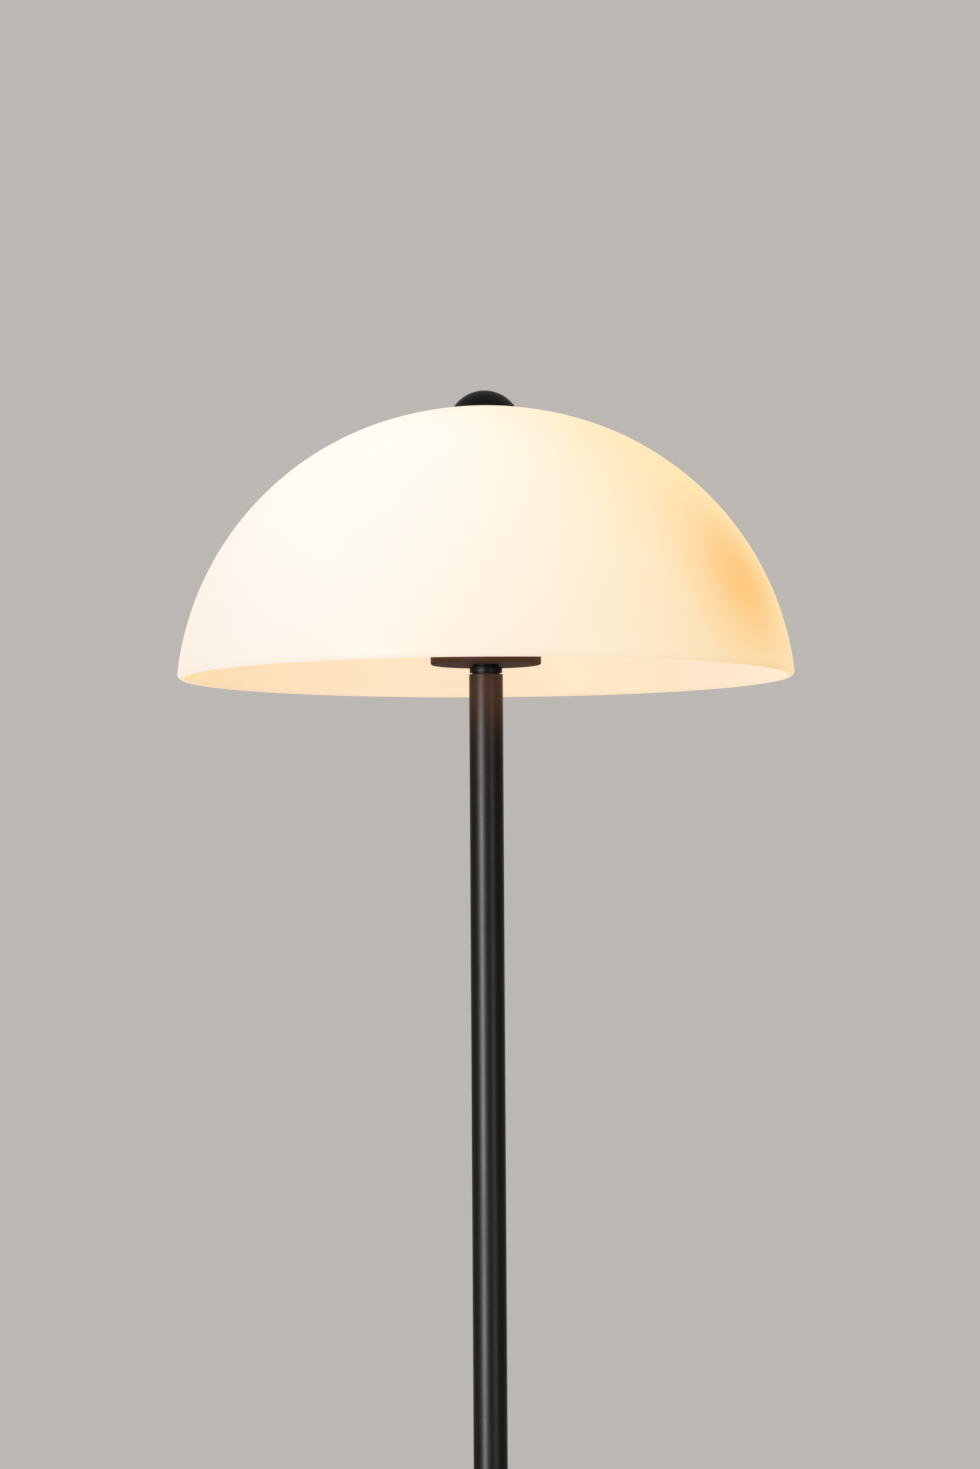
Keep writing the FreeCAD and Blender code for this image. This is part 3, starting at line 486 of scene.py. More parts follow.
# %% Handling marks
def build_smears():
    tree, given = shader_group(
        "handling_marks",
        [("Clean", "Float", 0.2), ("Smeared", "Float", 0.35), ("Scale", "Float", 18.0)],
        [("Roughness", "Float")],
    )
    place = add_node(tree, "ShaderNodeTexCoord").outputs["Object"]
    upright = add_node(tree, "ShaderNodeMapping", {"Vector": place, "Scale": (1.0, 1.0, 0.35)})
    broad = noise(tree, given["Scale"], detail=5.0, rough=0.6, Vector=upright.outputs[0])
    fine = noise(tree, product(tree, given["Scale"], 14.0), detail=3.0)
    both = calculate(tree, "ADD", product(tree, broad, 0.75), product(tree, fine, 0.25))
    rough = mix_numbers(tree, ramp(tree, both, 0.4, 0.66), given["Clean"], given["Smeared"])
    add_node(tree, "NodeGroupOutput", {"Roughness": rough})
    return tree


smear_group = build_smears()

# %% [markdown]
# Where an edge is knocked or rubbed, the coating thins.  Cycles gives how sharply a surface turns,
# its pointiness, and a noise breaks that line into separate small marks.

# %% Worn edges
def build_wear():
    tree, given = shader_group(
        "edge_wear",
        [("Color", "Color", (0.02, 0.02, 0.02, 1)), ("Worn color", "Color", (0.2, 0.2, 0.2, 1)),
         ("Amount", "Float", 0.3), ("Scale", "Float", 300.0)],
        [("Color", "Color")],
    )
    edge = add_node(tree, "ShaderNodeNewGeometry").outputs["Pointiness"]
    edge = ramp(tree, edge, 0.52, 0.6)
    marks = ramp(tree, noise(tree, given["Scale"], detail=4.0, rough=0.65), 0.45, 0.62)
    mask = product(tree, edge, marks, given["Amount"])
    colour = mix_colour(tree, mask, given["Color"], given["Worn color"])
    add_node(tree, "NodeGroupOutput", {"Color": colour})
    return tree


wear_group = build_wear()

# %% [markdown]
# The opal glass glows because it scatters the light of the bulbs behind it.  Real scattering would
# need many light paths, and the exported model could not keep it, so a group works the glow out:
# each bulb weighs by one over the cube of its distance, and gives its share of its own tint.  The
# left bulb is whiter and the right one warmer, as the photograph shows.  One patch of painted
# shade, dimmer and warmer, fades like a bell curve and lies low on the glass at the right.

# %% Glow of the bulbs through the glass
GLOW_TINTS = {
    "outside": [(0.86, 0.54, 0.32, 1), (0.88, 0.87, 0.85, 1), (0.86, 0.65, 0.30, 1)],
    "inside": [(0.88, 0.69, 0.49, 1), (0.88, 0.56, 0.19, 1), (0.90, 0.78, 0.64, 1)],
}
# The patch of painted shade on the glass: its place, its dimmer and warmer tint, and how much of it
# shows outside and inside.
PAINTED_SHADE_PLACE = Vector((0.173, -0.110, rim_level + 0.062))
PAINTED_SHADE_TINT = (0.87, 0.42, 0.045, 1)
PAINTED_SHADE_SHARE = {"outside": 0.9, "inside": 0.0}
GLOW_UNIT = 0.1
GLOW_FALL = 3.0


def build_glow():
    sockets = []
    for n in range(1, ARMS + 1):
        sockets.append((f"Bulb {n} place", "Vector", (0, 0, 0)))
        sockets.append((f"Bulb {n} tint", "Color", (1, 1, 1, 1)))
    sockets += [("Warm place", "Vector", (0, 0, 0)), ("Warm tint", "Color", PAINTED_SHADE_TINT),
                ("Warm reach", "Float", 0.05), ("Warm share", "Float", PAINTED_SHADE_SHARE["outside"])]
    tree, given = shader_group("lamp_glow", sockets, [("Color", "Color")])
    place = add_node(tree, "ShaderNodeTexCoord").outputs["Object"]
    weights = []
    for n in range(1, ARMS + 1):
        gap = calculate_vector(tree, "DISTANCE", place, given[f"Bulb {n} place"])
        near = calculate(tree, "DIVIDE", GLOW_UNIT, gap)
        weights.append(calculate(tree, "POWER", near, GLOW_FALL))
    total = calculate(tree, "ADD", calculate(tree, "ADD", weights[0], weights[1]), weights[2])
    colour = None
    for n, weight in enumerate(weights, start=1):
        share = calculate(tree, "DIVIDE", weight, total)
        part = calculate_vector(tree, "SCALE", given[f"Bulb {n} tint"], share)
        colour = part if colour is None else calculate_vector(tree, "ADD", colour, part)
    # Painted shade: a dimmer, warmer patch that fades like a bell curve round its place.
    gap = calculate_vector(tree, "DISTANCE", place, given["Warm place"])
    far = calculate(tree, "POWER", calculate(tree, "DIVIDE", gap, given["Warm reach"]), 2.0)
    bell = calculate(tree, "EXPONENT", product(tree, far, -1.0))
    colour = mix_colour(tree, product(tree, bell, given["Warm share"]), colour, given["Warm tint"])
    cloud = ramp(tree, noise(tree, 7.0, detail=2.0), 0.3, 0.7, 0.985, 1.015)
    add_node(tree, "NodeGroupOutput", {"Color": calculate_vector(tree, "SCALE", colour, cloud)})
    return tree


glow_group = build_glow()
print("effects:", [group.name for group in bpy.data.node_groups if group.type == "SHADER"])

# %% [markdown]
# ## Finishes
# A finish is one Principled shader whose uniform numbers are set on its own sockets.  What changes
# over the surface comes from the groups.

# %% A finish
# Painted warm light: how far below and above the glass's rim it reaches, and how steeply it fades.
PAINTED_LIGHT_BELOW_RIM = 60 * MM
PAINTED_LIGHT_ABOVE_RIM = 8 * MM
PAINTED_LIGHT_CURVE = 1.6
DUST_ROUGHNESS = 0.4


def use_group(tree, group, **values):
    """The outputs of a group, its inputs given by their names with _ for each space."""
    sockets = {name.replace("_", " "): value for name, value in values.items()}
    return add_node(tree, "ShaderNodeGroup", sockets, node_tree=group).outputs


def new_finish(name, **uniform):
    """A material with a Principled shader, and its tree and shader."""
    material = bpy.data.materials.new(name)
    material.use_nodes = True
    tree = material.node_tree
    shader = tree.nodes["Principled BSDF"]
    for socket, value in uniform.items():
        shader.inputs[socket.replace("_", " ")].default_value = value
    return material, tree, shader


def roughen(tree, shader, height, strength, distance):
    bump = add_node(tree, "ShaderNodeBump",
                    {"Height": height, "Strength": strength, "Distance": distance})
    tree.links.new(bump.outputs[0], shader.inputs["Normal"])


def solid(colour):
    return (*colour, 1.0)


def plain_finish(name, colour, smooth, rough, dusty=0.1, worn=None, wear=0.0,
                 grain=(60, 900, 0.5), bump=0.15, depth=0.05, patch=0.0, painted_warm_light=None, **uniform):
    """A finish of one colour, with grain, smears, dust on top and wear on its edges.  Given a warm
    colour, it takes that colour by height towards the glass's rim, as painted warm light from the
    lit glass."""
    material, tree, shader = new_finish(name, **uniform)
    coarse, fine, share = grain
    texture = use_group(tree, grain_group, Coarse_scale=coarse, Fine_scale=fine, Fine_share=share)
    darker = solid([c * (1 - patch) for c in colour])
    base = mix_colour(tree, texture["Patches"], darker, solid(colour))
    # Painted warm light: towards the rim the colour turns warm by height, as if lit by the glowing
    # glass.
    if painted_warm_light:
        place = add_node(tree, "ShaderNodeTexCoord").outputs["Object"]
        level = add_node(tree, "ShaderNodeSeparateXYZ", {0: place}).outputs["Z"]
        near = ramp(tree, level, rim_level - PAINTED_LIGHT_BELOW_RIM, rim_level + PAINTED_LIGHT_ABOVE_RIM)
        base = mix_colour(tree, calculate(tree, "POWER", near, PAINTED_LIGHT_CURVE), base, solid(painted_warm_light))
    if worn:
        base = use_group(tree, wear_group, Color=base, Worn_color=solid(worn), Amount=wear)["Color"]
    dust = use_group(tree, dust_group, Color=base, Amount=dusty)
    smears = use_group(tree, smear_group, Clean=smooth, Smeared=rough)
    tree.links.new(dust["Color"], shader.inputs["Base Color"])
    rough = calculate(tree, "ADD", smears["Roughness"], product(tree, dust["Mask"], DUST_ROUGHNESS))
    tree.links.new(rough, shader.inputs["Roughness"])
    if bump:
        roughen(tree, shader, texture["Height"], bump, depth * MM)
    return material


# %% [markdown]
# The pole, pan, finial and base are lacquered a satin black.  Near the lit glass the warm light on
# the black is painted into its colour: the pan is a painted warm brown all over, and the pole turns
# a painted brown towards the rim.  The lacquer lies so flat that it needs no bump: its satin is
# roughness alone, which spreads the pole's highlight wide and soft as in the photograph.

# %% Lacquer, castings, plating and brass
black_lacquer = plain_finish(
    "black_lacquer", (0.0036, 0.0026, 0.0022), 0.41, 0.46, dusty=0.01, worn=(0.03, 0.024, 0.02),
    wear=0.25, bump=0, patch=0.06, Specular_IOR_Level=0.1)
# The pole's lacquer, with painted warm light towards the glass's rim.
lacquer_painted_lamplit_near_rim = plain_finish(
    "lacquer_painted_lamplit_near_rim", (0.0042, 0.0028, 0.0022), 0.40, 0.45, dusty=0.01, worn=(0.03, 0.024, 0.02),
    wear=0.25, bump=0, patch=0.06, painted_warm_light=(0.12, 0.056, 0.026), Specular_IOR_Level=0.1)
# The pan's lacquer: its warm brown is painted light from the glowing glass, on a black pan.
lacquer_painted_lamplit_brown = plain_finish(
    "lacquer_painted_lamplit_brown", (0.100, 0.048, 0.025), 0.6, 0.66, dusty=0.01, worn=(0.16, 0.09, 0.05), wear=0.3,
    bump=0, patch=0.06, Specular_IOR_Level=0.05)
hub_lacquer = plain_finish(
    "hub_lacquer", (0.018, 0.014, 0.0125), 0.38, 0.5, dusty=0.25, worn=(0.12, 0.1, 0.09), wear=0.4,
    grain=(420, 1600, 0.4), bump=0.35, depth=0.25, patch=0.25, Specular_IOR_Level=0.4)
cast_iron = plain_finish(
    "cast_iron", (0.085, 0.083, 0.08), 0.6, 0.78, dusty=0.1, worn=(0.25, 0.24, 0.23), wear=0.5,
    grain=(160, 900, 0.45), bump=0.6, depth=0.6, patch=0.4)
zinc_plate = plain_finish(
    "zinc_plate", (0.62, 0.62, 0.60), 0.28, 0.45, dusty=0.05, worn=(0.8, 0.8, 0.79), wear=0.4,
    grain=(140, 1200, 0.5), bump=0.12, depth=0.05, patch=0.12, Metallic=1.0)
plain_brass = plain_finish(
    "plain_brass", (0.78, 0.58, 0.28), 0.24, 0.42, dusty=0.04, worn=(0.9, 0.75, 0.45), wear=0.4,
    grain=(110, 1200, 0.5), bump=0.1, depth=0.04, patch=0.18, Metallic=1.0)
print("metal finishes made")

# %% Plastics, rubber and felt
thermoset = plain_finish(
    "black_thermoset", (0.02, 0.019, 0.018), 0.36, 0.5, dusty=0.18, worn=(0.07, 0.07, 0.07),
    wear=0.3, grain=(500, 2200, 0.5), bump=0.25, depth=0.05, patch=0.15)
black_nylon = plain_finish(
    "black_nylon", (0.022, 0.022, 0.022), 0.45, 0.6, dusty=0.1, worn=(0.08, 0.08, 0.08), wear=0.2,
    grain=(420, 2400, 0.5), bump=0.3, depth=0.05, patch=0.1)
pale_nylon = plain_finish(
    "pale_nylon", (0.74, 0.73, 0.68), 0.4, 0.55, dusty=0.05, grain=(300, 2000, 0.5),
    bump=0.2, depth=0.04, patch=0.06, Subsurface_Weight=0.15,
    Subsurface_Radius=(0.002, 0.002, 0.0015))
bulb_plastic = plain_finish(
    "white_bulb_plastic", (0.80, 0.78, 0.73), 0.3, 0.42, dusty=0.08, grain=(420, 2000, 0.5),
    bump=0.12, depth=0.03, patch=0.05)
insulator_glass = plain_finish(
    "black_insulator", (0.03, 0.03, 0.034), 0.12, 0.22, dusty=0.02, grain=(200, 1500, 0.3),
    bump=0.1, depth=0.04, patch=0.1)
silicone = plain_finish(
    "pale_silicone", (0.66, 0.655, 0.62), 0.5, 0.62, dusty=0.15, grain=(350, 1800, 0.5),
    bump=0.2, depth=0.05, patch=0.06)
cable_sheath = plain_finish(
    "black_sheath", (0.02, 0.02, 0.02), 0.45, 0.58, dusty=0.1, grain=(400, 2600, 0.5),
    bump=0.25, depth=0.04, patch=0.1)
lead_sleeve = plain_finish(
    "white_sleeve", (0.70, 0.69, 0.66), 0.5, 0.64, dusty=0.05, grain=(500, 3000, 0.6),
    bump=0.35, depth=0.06, patch=0.08)
felt_finish = plain_finish(
    "black_felt", (0.03, 0.03, 0.032), 0.85, 0.98, dusty=0.3, grain=(900, 3600, 0.6),
    bump=0.9, depth=0.5, patch=0.5, Sheen_Weight=0.4, Sheen_Roughness=0.6)
print("finishes made:", len(bpy.data.materials))

# %% [markdown]
# The opal glass has a white core cased in clear glass.  Its glow drowns almost every reflection in
# the photograph, so the clear skin is only a faint coat, and the glow is the shader's emission.
# The side, from the lathe, chooses between the outside's tints and the inside's.

# %% Opal glass
GLASS_COLOUR = (0.15, 0.135, 0.12, 1)
GLASS_DUST = (0.15, 0.14, 0.13, 1)
BLOWN_WAVE = 1.2 * MM


def opal_glass():
    material, tree, shader = new_finish(
        "opal_glass", Emission_Strength=1.0, IOR=1.5, Coat_Weight=0.01, Coat_Roughness=0.25,
        Coat_IOR=1.5, Specular_IOR_Level=0.03)
    side = add_node(tree, "ShaderNodeAttribute", attribute_name="side").outputs["Fac"]
    glow = []
    for face, tints in GLOW_TINTS.items():
        values = {"Warm_place": PAINTED_SHADE_PLACE, "Warm_share": PAINTED_SHADE_SHARE[face]}
        for n in range(ARMS):
            values[f"Bulb_{n + 1}_place"] = bulb_places[n]
            values[f"Bulb_{n + 1}_tint"] = tints[n]
        glow.append(use_group(tree, glow_group, **values)["Color"])
    tree.links.new(mix_colour(tree, side, *glow), shader.inputs["Emission Color"])
    dust = use_group(tree, dust_group, Color=GLASS_COLOUR, Dust_color=GLASS_DUST, Amount=0.15)
    tree.links.new(dust["Color"], shader.inputs["Base Color"])
    smears = use_group(tree, smear_group, Clean=0.46, Smeared=0.54)
    tree.links.new(smears["Roughness"], shader.inputs["Roughness"])
    roughen(tree, shader, noise(tree, 9.0, detail=1.0), 0.25, BLOWN_WAVE)
    return material


opal = opal_glass()

# %% [markdown]
# ## The glass shade
# The real dome is blown into a mould: a flatter arc at the crown runs smoothly into the shoulder.
# The wall is 5 mm and thickens to a fire-rounded rim.  Its half profile is two tangent arcs and
# their offsets, turned on the lathe.

# %% Glass shade
SHADE_RADIUS = 200 * MM
CROWN_ARC = 218.2 * MM
CROWN_TURN = math.radians(17.25)
GLASS_WALL = 5 * MM
RIM_THICKNESS = 6.6 * MM
RIM_TAPER = 30 * MM
RIM_ROUND = 2.8 * MM
SHADE_HOLE = 7 * MM
CROWN_STEPS = 14
SHOULDER_STEPS = 60
ROUND_STEPS = 8

crown_centre = Vector((0, crown_level - CROWN_ARC))
crown_end = arc(crown_centre, CROWN_ARC, 0, CROWN_TURN, 1)[-1]
facing = Vector((math.sin(CROWN_TURN), math.cos(CROWN_TURN)))
across = crown_end - Vector((SHADE_RADIUS, rim_level + RIM_ROUND))
shoulder_arc = across.length_squared / (2 * across.dot(facing))
shoulder_centre = crown_end - facing * shoulder_arc
rim_turn = math.acos((rim_level + RIM_ROUND - shoulder_centre.y) / shoulder_arc)
print("shoulder arc", *millimetres([shoulder_arc]), "mm, centre", millimetres(shoulder_centre))


def dome_points(inward):
    """The dome's arcs from the crown's hole to the rim's round, moved in by a thickness."""
    size = CROWN_ARC - inward(crown_level)
    points = arc(crown_centre, size, math.asin(SHADE_HOLE / size), CROWN_TURN, CROWN_STEPS)
    for step in range(1, SHOULDER_STEPS + 1):
        spot = CROWN_TURN + (rim_turn - CROWN_TURN) * step / SHOULDER_STEPS
        height = shoulder_centre.y + shoulder_arc * math.cos(spot)
        points += arc(shoulder_centre, shoulder_arc - inward(height), spot, spot, 1)[:1]
    return points


def wall_at(height):
    share = min(max((rim_level + RIM_TAPER - height) / RIM_TAPER, 0), 1)
    return GLASS_WALL + (RIM_THICKNESS - GLASS_WALL) * share


outer = dome_points(lambda height: 0.0)
inner = dome_points(wall_at)
round_level = rim_level + RIM_ROUND
outer_centre = (SHADE_RADIUS - RIM_ROUND, round_level)
inner_centre = (SHADE_RADIUS - RIM_THICKNESS + RIM_ROUND, round_level)
outer_round = arc(outer_centre, RIM_ROUND, math.pi / 2, math.pi, ROUND_STEPS)
inner_round = arc(inner_centre, RIM_ROUND, math.pi, 1.5 * math.pi, ROUND_STEPS)
glass_profile = outer + outer_round[1:] + inner_round[:-1] + inner[::-1]
outside = len(outer) + ROUND_STEPS
glass_sides = [0.0] * outside + [0.5] * 2 + [1.0] * (len(glass_profile) - outside - 2)
shade = turn("opal_shade", glass_profile, opal, steps=320, sides=glass_sides)
stand_for(shade, "shade", "opal_glass", "glass_shade")

# %% [markdown]
# ## Finial and neck collar
# Both are turned from bar and lacquered.  The finial is a shallow cap nut, hollow underneath.  The
# collar shows one ring between two grooves, in the gap between the pan and the pole.

# %% Finial
FINIAL_HOLLOW = 15 * MM
FINIAL_LIP = 0.75 * MM
FINIAL_BORE = 5.05 * MM
BORE_MOUTH = 5.6 * MM
BORE_STEP = 0.125 * MM
hollow_roof = crown_level + 2.5 * MM
bore_foot = crown_level + 3.0 * MM
bore_end = crown_level + 9.3 * MM

finial_radius, finial_foot = radius("finial"), bottom("finial")
finial_height = top("finial") - finial_foot
dome = (finial_radius ** 2 + finial_height ** 2) / finial_height / 2
half_turn = math.asin(finial_radius / dome)
cap = arc((0, finial_foot + finial_height - dome), dome, 0, half_turn, 28)
lip = [(finial_radius, finial_foot, 0.35 * MM), (FINIAL_HOLLOW, finial_foot + FINIAL_LIP, 0.3 * MM)]
hollow = [(FINIAL_HOLLOW, hollow_roof), (BORE_MOUTH, hollow_roof), (FINIAL_BORE, bore_foot)]
bore = [crown_level + step * BORE_STEP for step in range(26, 74)] + [bore_end]
finial_profile = cap[:-2] + rounded([tuple(cap[-3]), *lip, hollow[0]], 4)[1:-1]
finial_profile += [Vector(corner) for corner in hollow] + heights(FINIAL_BORE, bore)
finial_profile.append(Vector((0, bore_end)))
finial = turn("turned_finial", finial_profile, black_lacquer, steps=128)
stand_for(finial, "finial_nut", "black_metal", "finial")

# %% Neck collar
neck_foot, neck_top = bottom("neck_collar"), top("neck_collar")
pole_top = top("pole_upper_tube")
ring_radius = radius("neck_collar")
GROOVE_HEIGHT = 1.0 * MM
RING_HEIGHT = 3.85 * MM
ring_foot = pole_top + GROOVE_HEIGHT
ring_head = ring_foot + RING_HEIGHT
NECK_BORE = 5.0 * MM
NECK_SHANK = 9.4 * MM
NECK_GROOVE = 9.0 * MM
NECK_UPPER = 8.5 * MM
FINE_EDGE = 0.05 * MM
RING_EDGE = 0.35 * MM
neck_corners = [
    (NECK_BORE, neck_foot),
    (NECK_SHANK, neck_foot, 0.3 * MM), (NECK_SHANK, pole_top, FINE_EDGE),
    (NECK_GROOVE, pole_top, FINE_EDGE), (NECK_GROOVE, ring_foot, 0.2 * MM),
    (ring_radius, ring_foot, RING_EDGE), (ring_radius, ring_head, RING_EDGE),
    (NECK_UPPER, ring_head, 0.25 * MM), (NECK_UPPER, neck_top, FINE_EDGE),
    (NECK_BORE, neck_top, FINE_EDGE),
]
neck = turn("ringed_neck", rounded(neck_corners, 4), black_lacquer, steps=128)
stand_for(neck, "stand", "black_metal", "neck_collar")

# %% [markdown]
# ## Pole and pan
# The pole is two drawn tubes that meet at a fine seam, so each tube's edges are broken a little.
# Rows just inside each edge hold the wall straight under smooth shading.  The pan is spun from
# sheet, with a rounded foot and a rounded lip.

# %% Pole tubes
POLE_WALL = 1.5 * MM
TUBE_EDGE = 0.25 * MM
HOLDING_ROW = 1.0 * MM
for name, node in (("lower_tube", "pole_lower_tube"), ("upper_tube", "pole_upper_tube")):
    foot, head, outer_wall = bottom(node), top(node), radius(node)
    inner_wall = outer_wall - POLE_WALL
    corners = [
        (inner_wall, foot), (outer_wall, foot, TUBE_EDGE), (outer_wall, foot + HOLDING_ROW),
        (outer_wall, head - HOLDING_ROW), (outer_wall, head, TUBE_EDGE), (inner_wall, head),
        (inner_wall, head - HOLDING_ROW), (inner_wall, foot + HOLDING_ROW),
    ]
    tube = turn(name, rounded(corners, 3), lacquer_painted_lamplit_near_rim, steps=96)
    stand_for(tube, "stand", "black_metal", node)

# %% Pan
PAN_HOLE = 5 * MM
PAN_SHEET = 1.5 * MM
LIP_ROUND = 0.6 * MM
FOOT_ROUND = 1.2 * MM
INNER_ROUND = 0.8 * MM
pan_radius, pan_lip = radius("lamp_pan"), top("lamp_pan")
pan_corners = [
    (PAN_HOLE, pan_level), (pan_radius - 3 * MM, pan_level), (pan_radius, pan_level, FOOT_ROUND),
    (pan_radius, pan_level + 3 * MM), (pan_radius, pan_lip - 2 * MM),
    (pan_radius, pan_lip, LIP_ROUND), (pan_radius - PAN_SHEET, pan_lip, LIP_ROUND),
    (pan_radius - PAN_SHEET, pan_level + PAN_SHEET, INNER_ROUND),
    (PAN_HOLE, pan_level + PAN_SHEET),
]
# The pan's finish paints the warm light of the glowing glass into its colour.
pan = turn("spun_pan", rounded(pan_corners, 5), lacquer_painted_lamplit_brown, steps=160)
stand_for(pan, "stand", "black_metal", "lamp_pan")

# %% [markdown]
# ## Felt and pads
# The felt ring under the base is cut from sheet: its edge is a little frayed, and it is pressed
# round at the rim.  The pad that the glass rests on is moulded silicone, round at its edges and
# domed on top to fit the glass.  Both are turned on the lathe; the felt also uses its noise.

# %% Felt ring
felt_radius, felt_top = radius("base_felt"), top("base_felt")
FELT_HOLE = 45 * MM
FELT_FRAY = 0.6 * MM
felt_corners = [
    (FELT_HOLE, 0.0, 0.3 * MM), (felt_radius, 0.0, 0.6 * MM), (felt_radius, felt_top, 0.2 * MM),
    (FELT_HOLE, felt_top, 0.2 * MM),
]
felt = turn("felt_ring", rounded(felt_corners, 4), felt_finish, steps=480, uneven=FELT_FRAY)
stand_for(felt, "stand", "felt", "base_felt")

# %% Silicone pad
PAD_HOLE = 18 * MM
PAD_ROUND = 0.5 * MM
PAD_ARC = CROWN_ARC - GLASS_WALL - 0.05 * MM
PAD_GAP = 0.1 * MM
pad_radius, pad_foot = radius("seat_pad"), bottom("seat_pad")


def under_glass(reach):
    return crown_centre.y + math.sqrt(PAD_ARC ** 2 - reach ** 2) - PAD_GAP


pad_corners = [(PAD_HOLE, pad_foot, PAD_ROUND), (pad_radius, pad_foot, PAD_ROUND),
               (pad_radius, under_glass(pad_radius), PAD_ROUND)]
pad_corners += [(reach * MM, under_glass(reach * MM)) for reach in (26, 24, 22, 20)]
pad_corners.append((PAD_HOLE, under_glass(PAD_HOLE), PAD_ROUND))
pad_profile = rounded(pad_corners, 4)
pad = turn("silicone_pad", pad_profile, silicone, steps=128)
stand_for(pad, "stand", "soft_pad", "seat_pad")
print("pad top", *millimetres([top("seat_pad"), max(point.y for point in pad_profile)]))

# %% [markdown]
# ## Bent cables
# The flex up the pole and the three short leads in the hub are round cables on a bent path.  A
# second tree sweeps a ring along each path and closes its ends.

# %% Build the cable tree
def build_cable():
    tree = bpy.data.node_groups.new("cable", "GeometryNodeTree")
    add_sockets(tree, "INPUT", ("Path", "Geometry"), ("Radius", "Float", 2.5 * MM),
                ("Steps round", "Int", 24), ("Finish", "Material"))
    add_sockets(tree, "OUTPUT", ("Piece", "Geometry"))
    given = add_node(tree, "NodeGroupInput").outputs
    path = add_node(tree, "GeometryNodeMeshToCurve", {"Mesh": given["Path"]})
    ring = add_node(tree, "GeometryNodeCurvePrimitiveCircle",
                    {"Resolution": given["Steps round"], "Radius": given["Radius"]})
    sockets = {"Curve": path.outputs[0], "Profile Curve": ring.outputs[0], "Fill Caps": True}
    swept = add_node(tree, "GeometryNodeCurveToMesh", sockets)
    return end_tree(tree, swept.outputs[0], given["Finish"])


cable = build_cable()


def run_cable(name, paths, size, finish):
    """One piece with a round cable along each path."""
    return make_piece(name, line_mesh(name, paths), cable, {"Radius": size, "Finish": finish})


# %% Flex in the pole
FLEX_RADIUS = 2.5 * MM
FLEX_END = 8.5 * MM
FOOT_BEND = 6 * MM
HEAD_BEND = 7.5 * MM
BEND_STEPS = 10
low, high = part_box("pole_flex")
entry, way_out = low.z + FLEX_RADIUS, high.z - FLEX_RADIUS
corners = [(high.y, entry), (0.0, entry, FOOT_BEND), (0.0, way_out, HEAD_BEND), (FLEX_END, way_out)]
path = [(0, y, z) for y, z in rounded(corners, BEND_STEPS)]
flex = run_cable("pole_cable", [path], FLEX_RADIUS, cable_sheath)
stand_for(flex, "stand", "flex", "pole_flex")

# %% Leads in the hub
LEAD_RADIUS = 1.5 * MM
LEAD_START = 13.5 * MM
LEAD_BEND = 7 * MM
LEAD_LENGTH = 36 * MM
meeting = ARM_CENTRE.z + LEAD_START * math.tan(ARM_RISE)
lead_end = (LEAD_LENGTH * math.cos(ARM_RISE), ARM_CENTRE.z + LEAD_LENGTH * math.sin(ARM_RISE))
lead_corners = [(LEAD_START, top("terminal_ring")), (LEAD_START, meeting, LEAD_BEND), lead_end]
lead = rounded(lead_corners, BEND_STEPS)
paths = []
for number in range(ARMS):
    out, along = math.cos(arm_angle(number)), math.sin(arm_angle(number))
    paths.append([(reach * out, reach * along, level) for reach, level in lead])
leads = run_cable("hub_leads", paths, LEAD_RADIUS, lead_sleeve)
stand_for(leads, "stand", "lead", "holder_leads")

# %% [markdown]
# ## Screws under the base
# Three cross-head screws hold the access plate.  One tree turns a screw on the lathe, cuts the
# cross with two bars, and sets a copy at each place round a circle.  Each cross stops where the
# thread bites, so its turn is random with a fixed seed.

# %% Build the screw tree
def build_screws():
    tree = bpy.data.node_groups.new("screws_round", "GeometryNodeTree")
    add_sockets(
        tree, "INPUT",
        ("Profile", "Geometry"),
        ("Screws", "Int", 3),
        ("Circle radius", "Float", 39 * MM),
        ("First turn", "Float", 0.0),
        ("Head level", "Float", 0.0),
        ("Cross depth", "Float", 0.8 * MM),
        ("Cross length", "Float", 3.0 * MM),
        ("Cross width", "Float", 0.6 * MM),
        ("Thread from", "Float", 0.0),
        ("Thread to", "Float", 0.0),
        ("Seed", "Int", 4),
        ("Finish", "Material"),
    )
    add_sockets(tree, "OUTPUT", ("Piece", "Geometry"))
    given = add_node(tree, "NodeGroupInput").outputs
    screw = {name: given[name] for name in ("Profile", "Finish", "Thread from", "Thread to")}
    screw |= {"Steps round": 48, "Thread pitch": 0.5 * MM, "Thread depth": 0.25 * MM,
              "Thread beyond": 1.3 * MM}
    cut = add_node(tree, "GeometryNodeGroup", screw, node_tree=lathe)
    depth = product(tree, given["Cross depth"], 2.0)
    level = from_axes(tree, Z=given["Head level"])
    for along, across in (("X", "Y"), ("Y", "X")):
        sizes = {along: given["Cross length"], across: given["Cross width"], "Z": depth}
        bar = add_node(tree, "GeometryNodeMeshCube", {"Size": from_axes(tree, **sizes)})
        bar = add_node(tree, "GeometryNodeTransform",
                       {"Geometry": bar.outputs["Mesh"], "Translation": level})
        cut = add_node(tree, "GeometryNodeMeshBoolean",
                       {"Mesh 1": cut.outputs[0], "Mesh 2": bar.outputs[0]},
                       operation="DIFFERENCE", solver="EXACT")
    ring = add_node(tree, "GeometryNodeMeshCircle",
                    {"Vertices": given["Screws"], "Radius": given["Circle radius"]})
    first = from_axes(tree, Z=given["First turn"])
    ring = add_node(tree, "GeometryNodeTransform", {"Geometry": ring.outputs[0], "Rotation": first})
    chance = add_node(tree, "FunctionNodeRandomValue", {"Seed": given["Seed"]}, data_type="FLOAT")
    spin = from_axes(tree, Z=product(tree, chance.outputs[1], math.tau))
    placed = add_node(tree, "GeometryNodeInstanceOnPoints",
                      {"Points": ring.outputs[0], "Instance": cut.outputs[0], "Rotation": spin})
    return end_tree(tree, placed.outputs[0], given["Finish"])


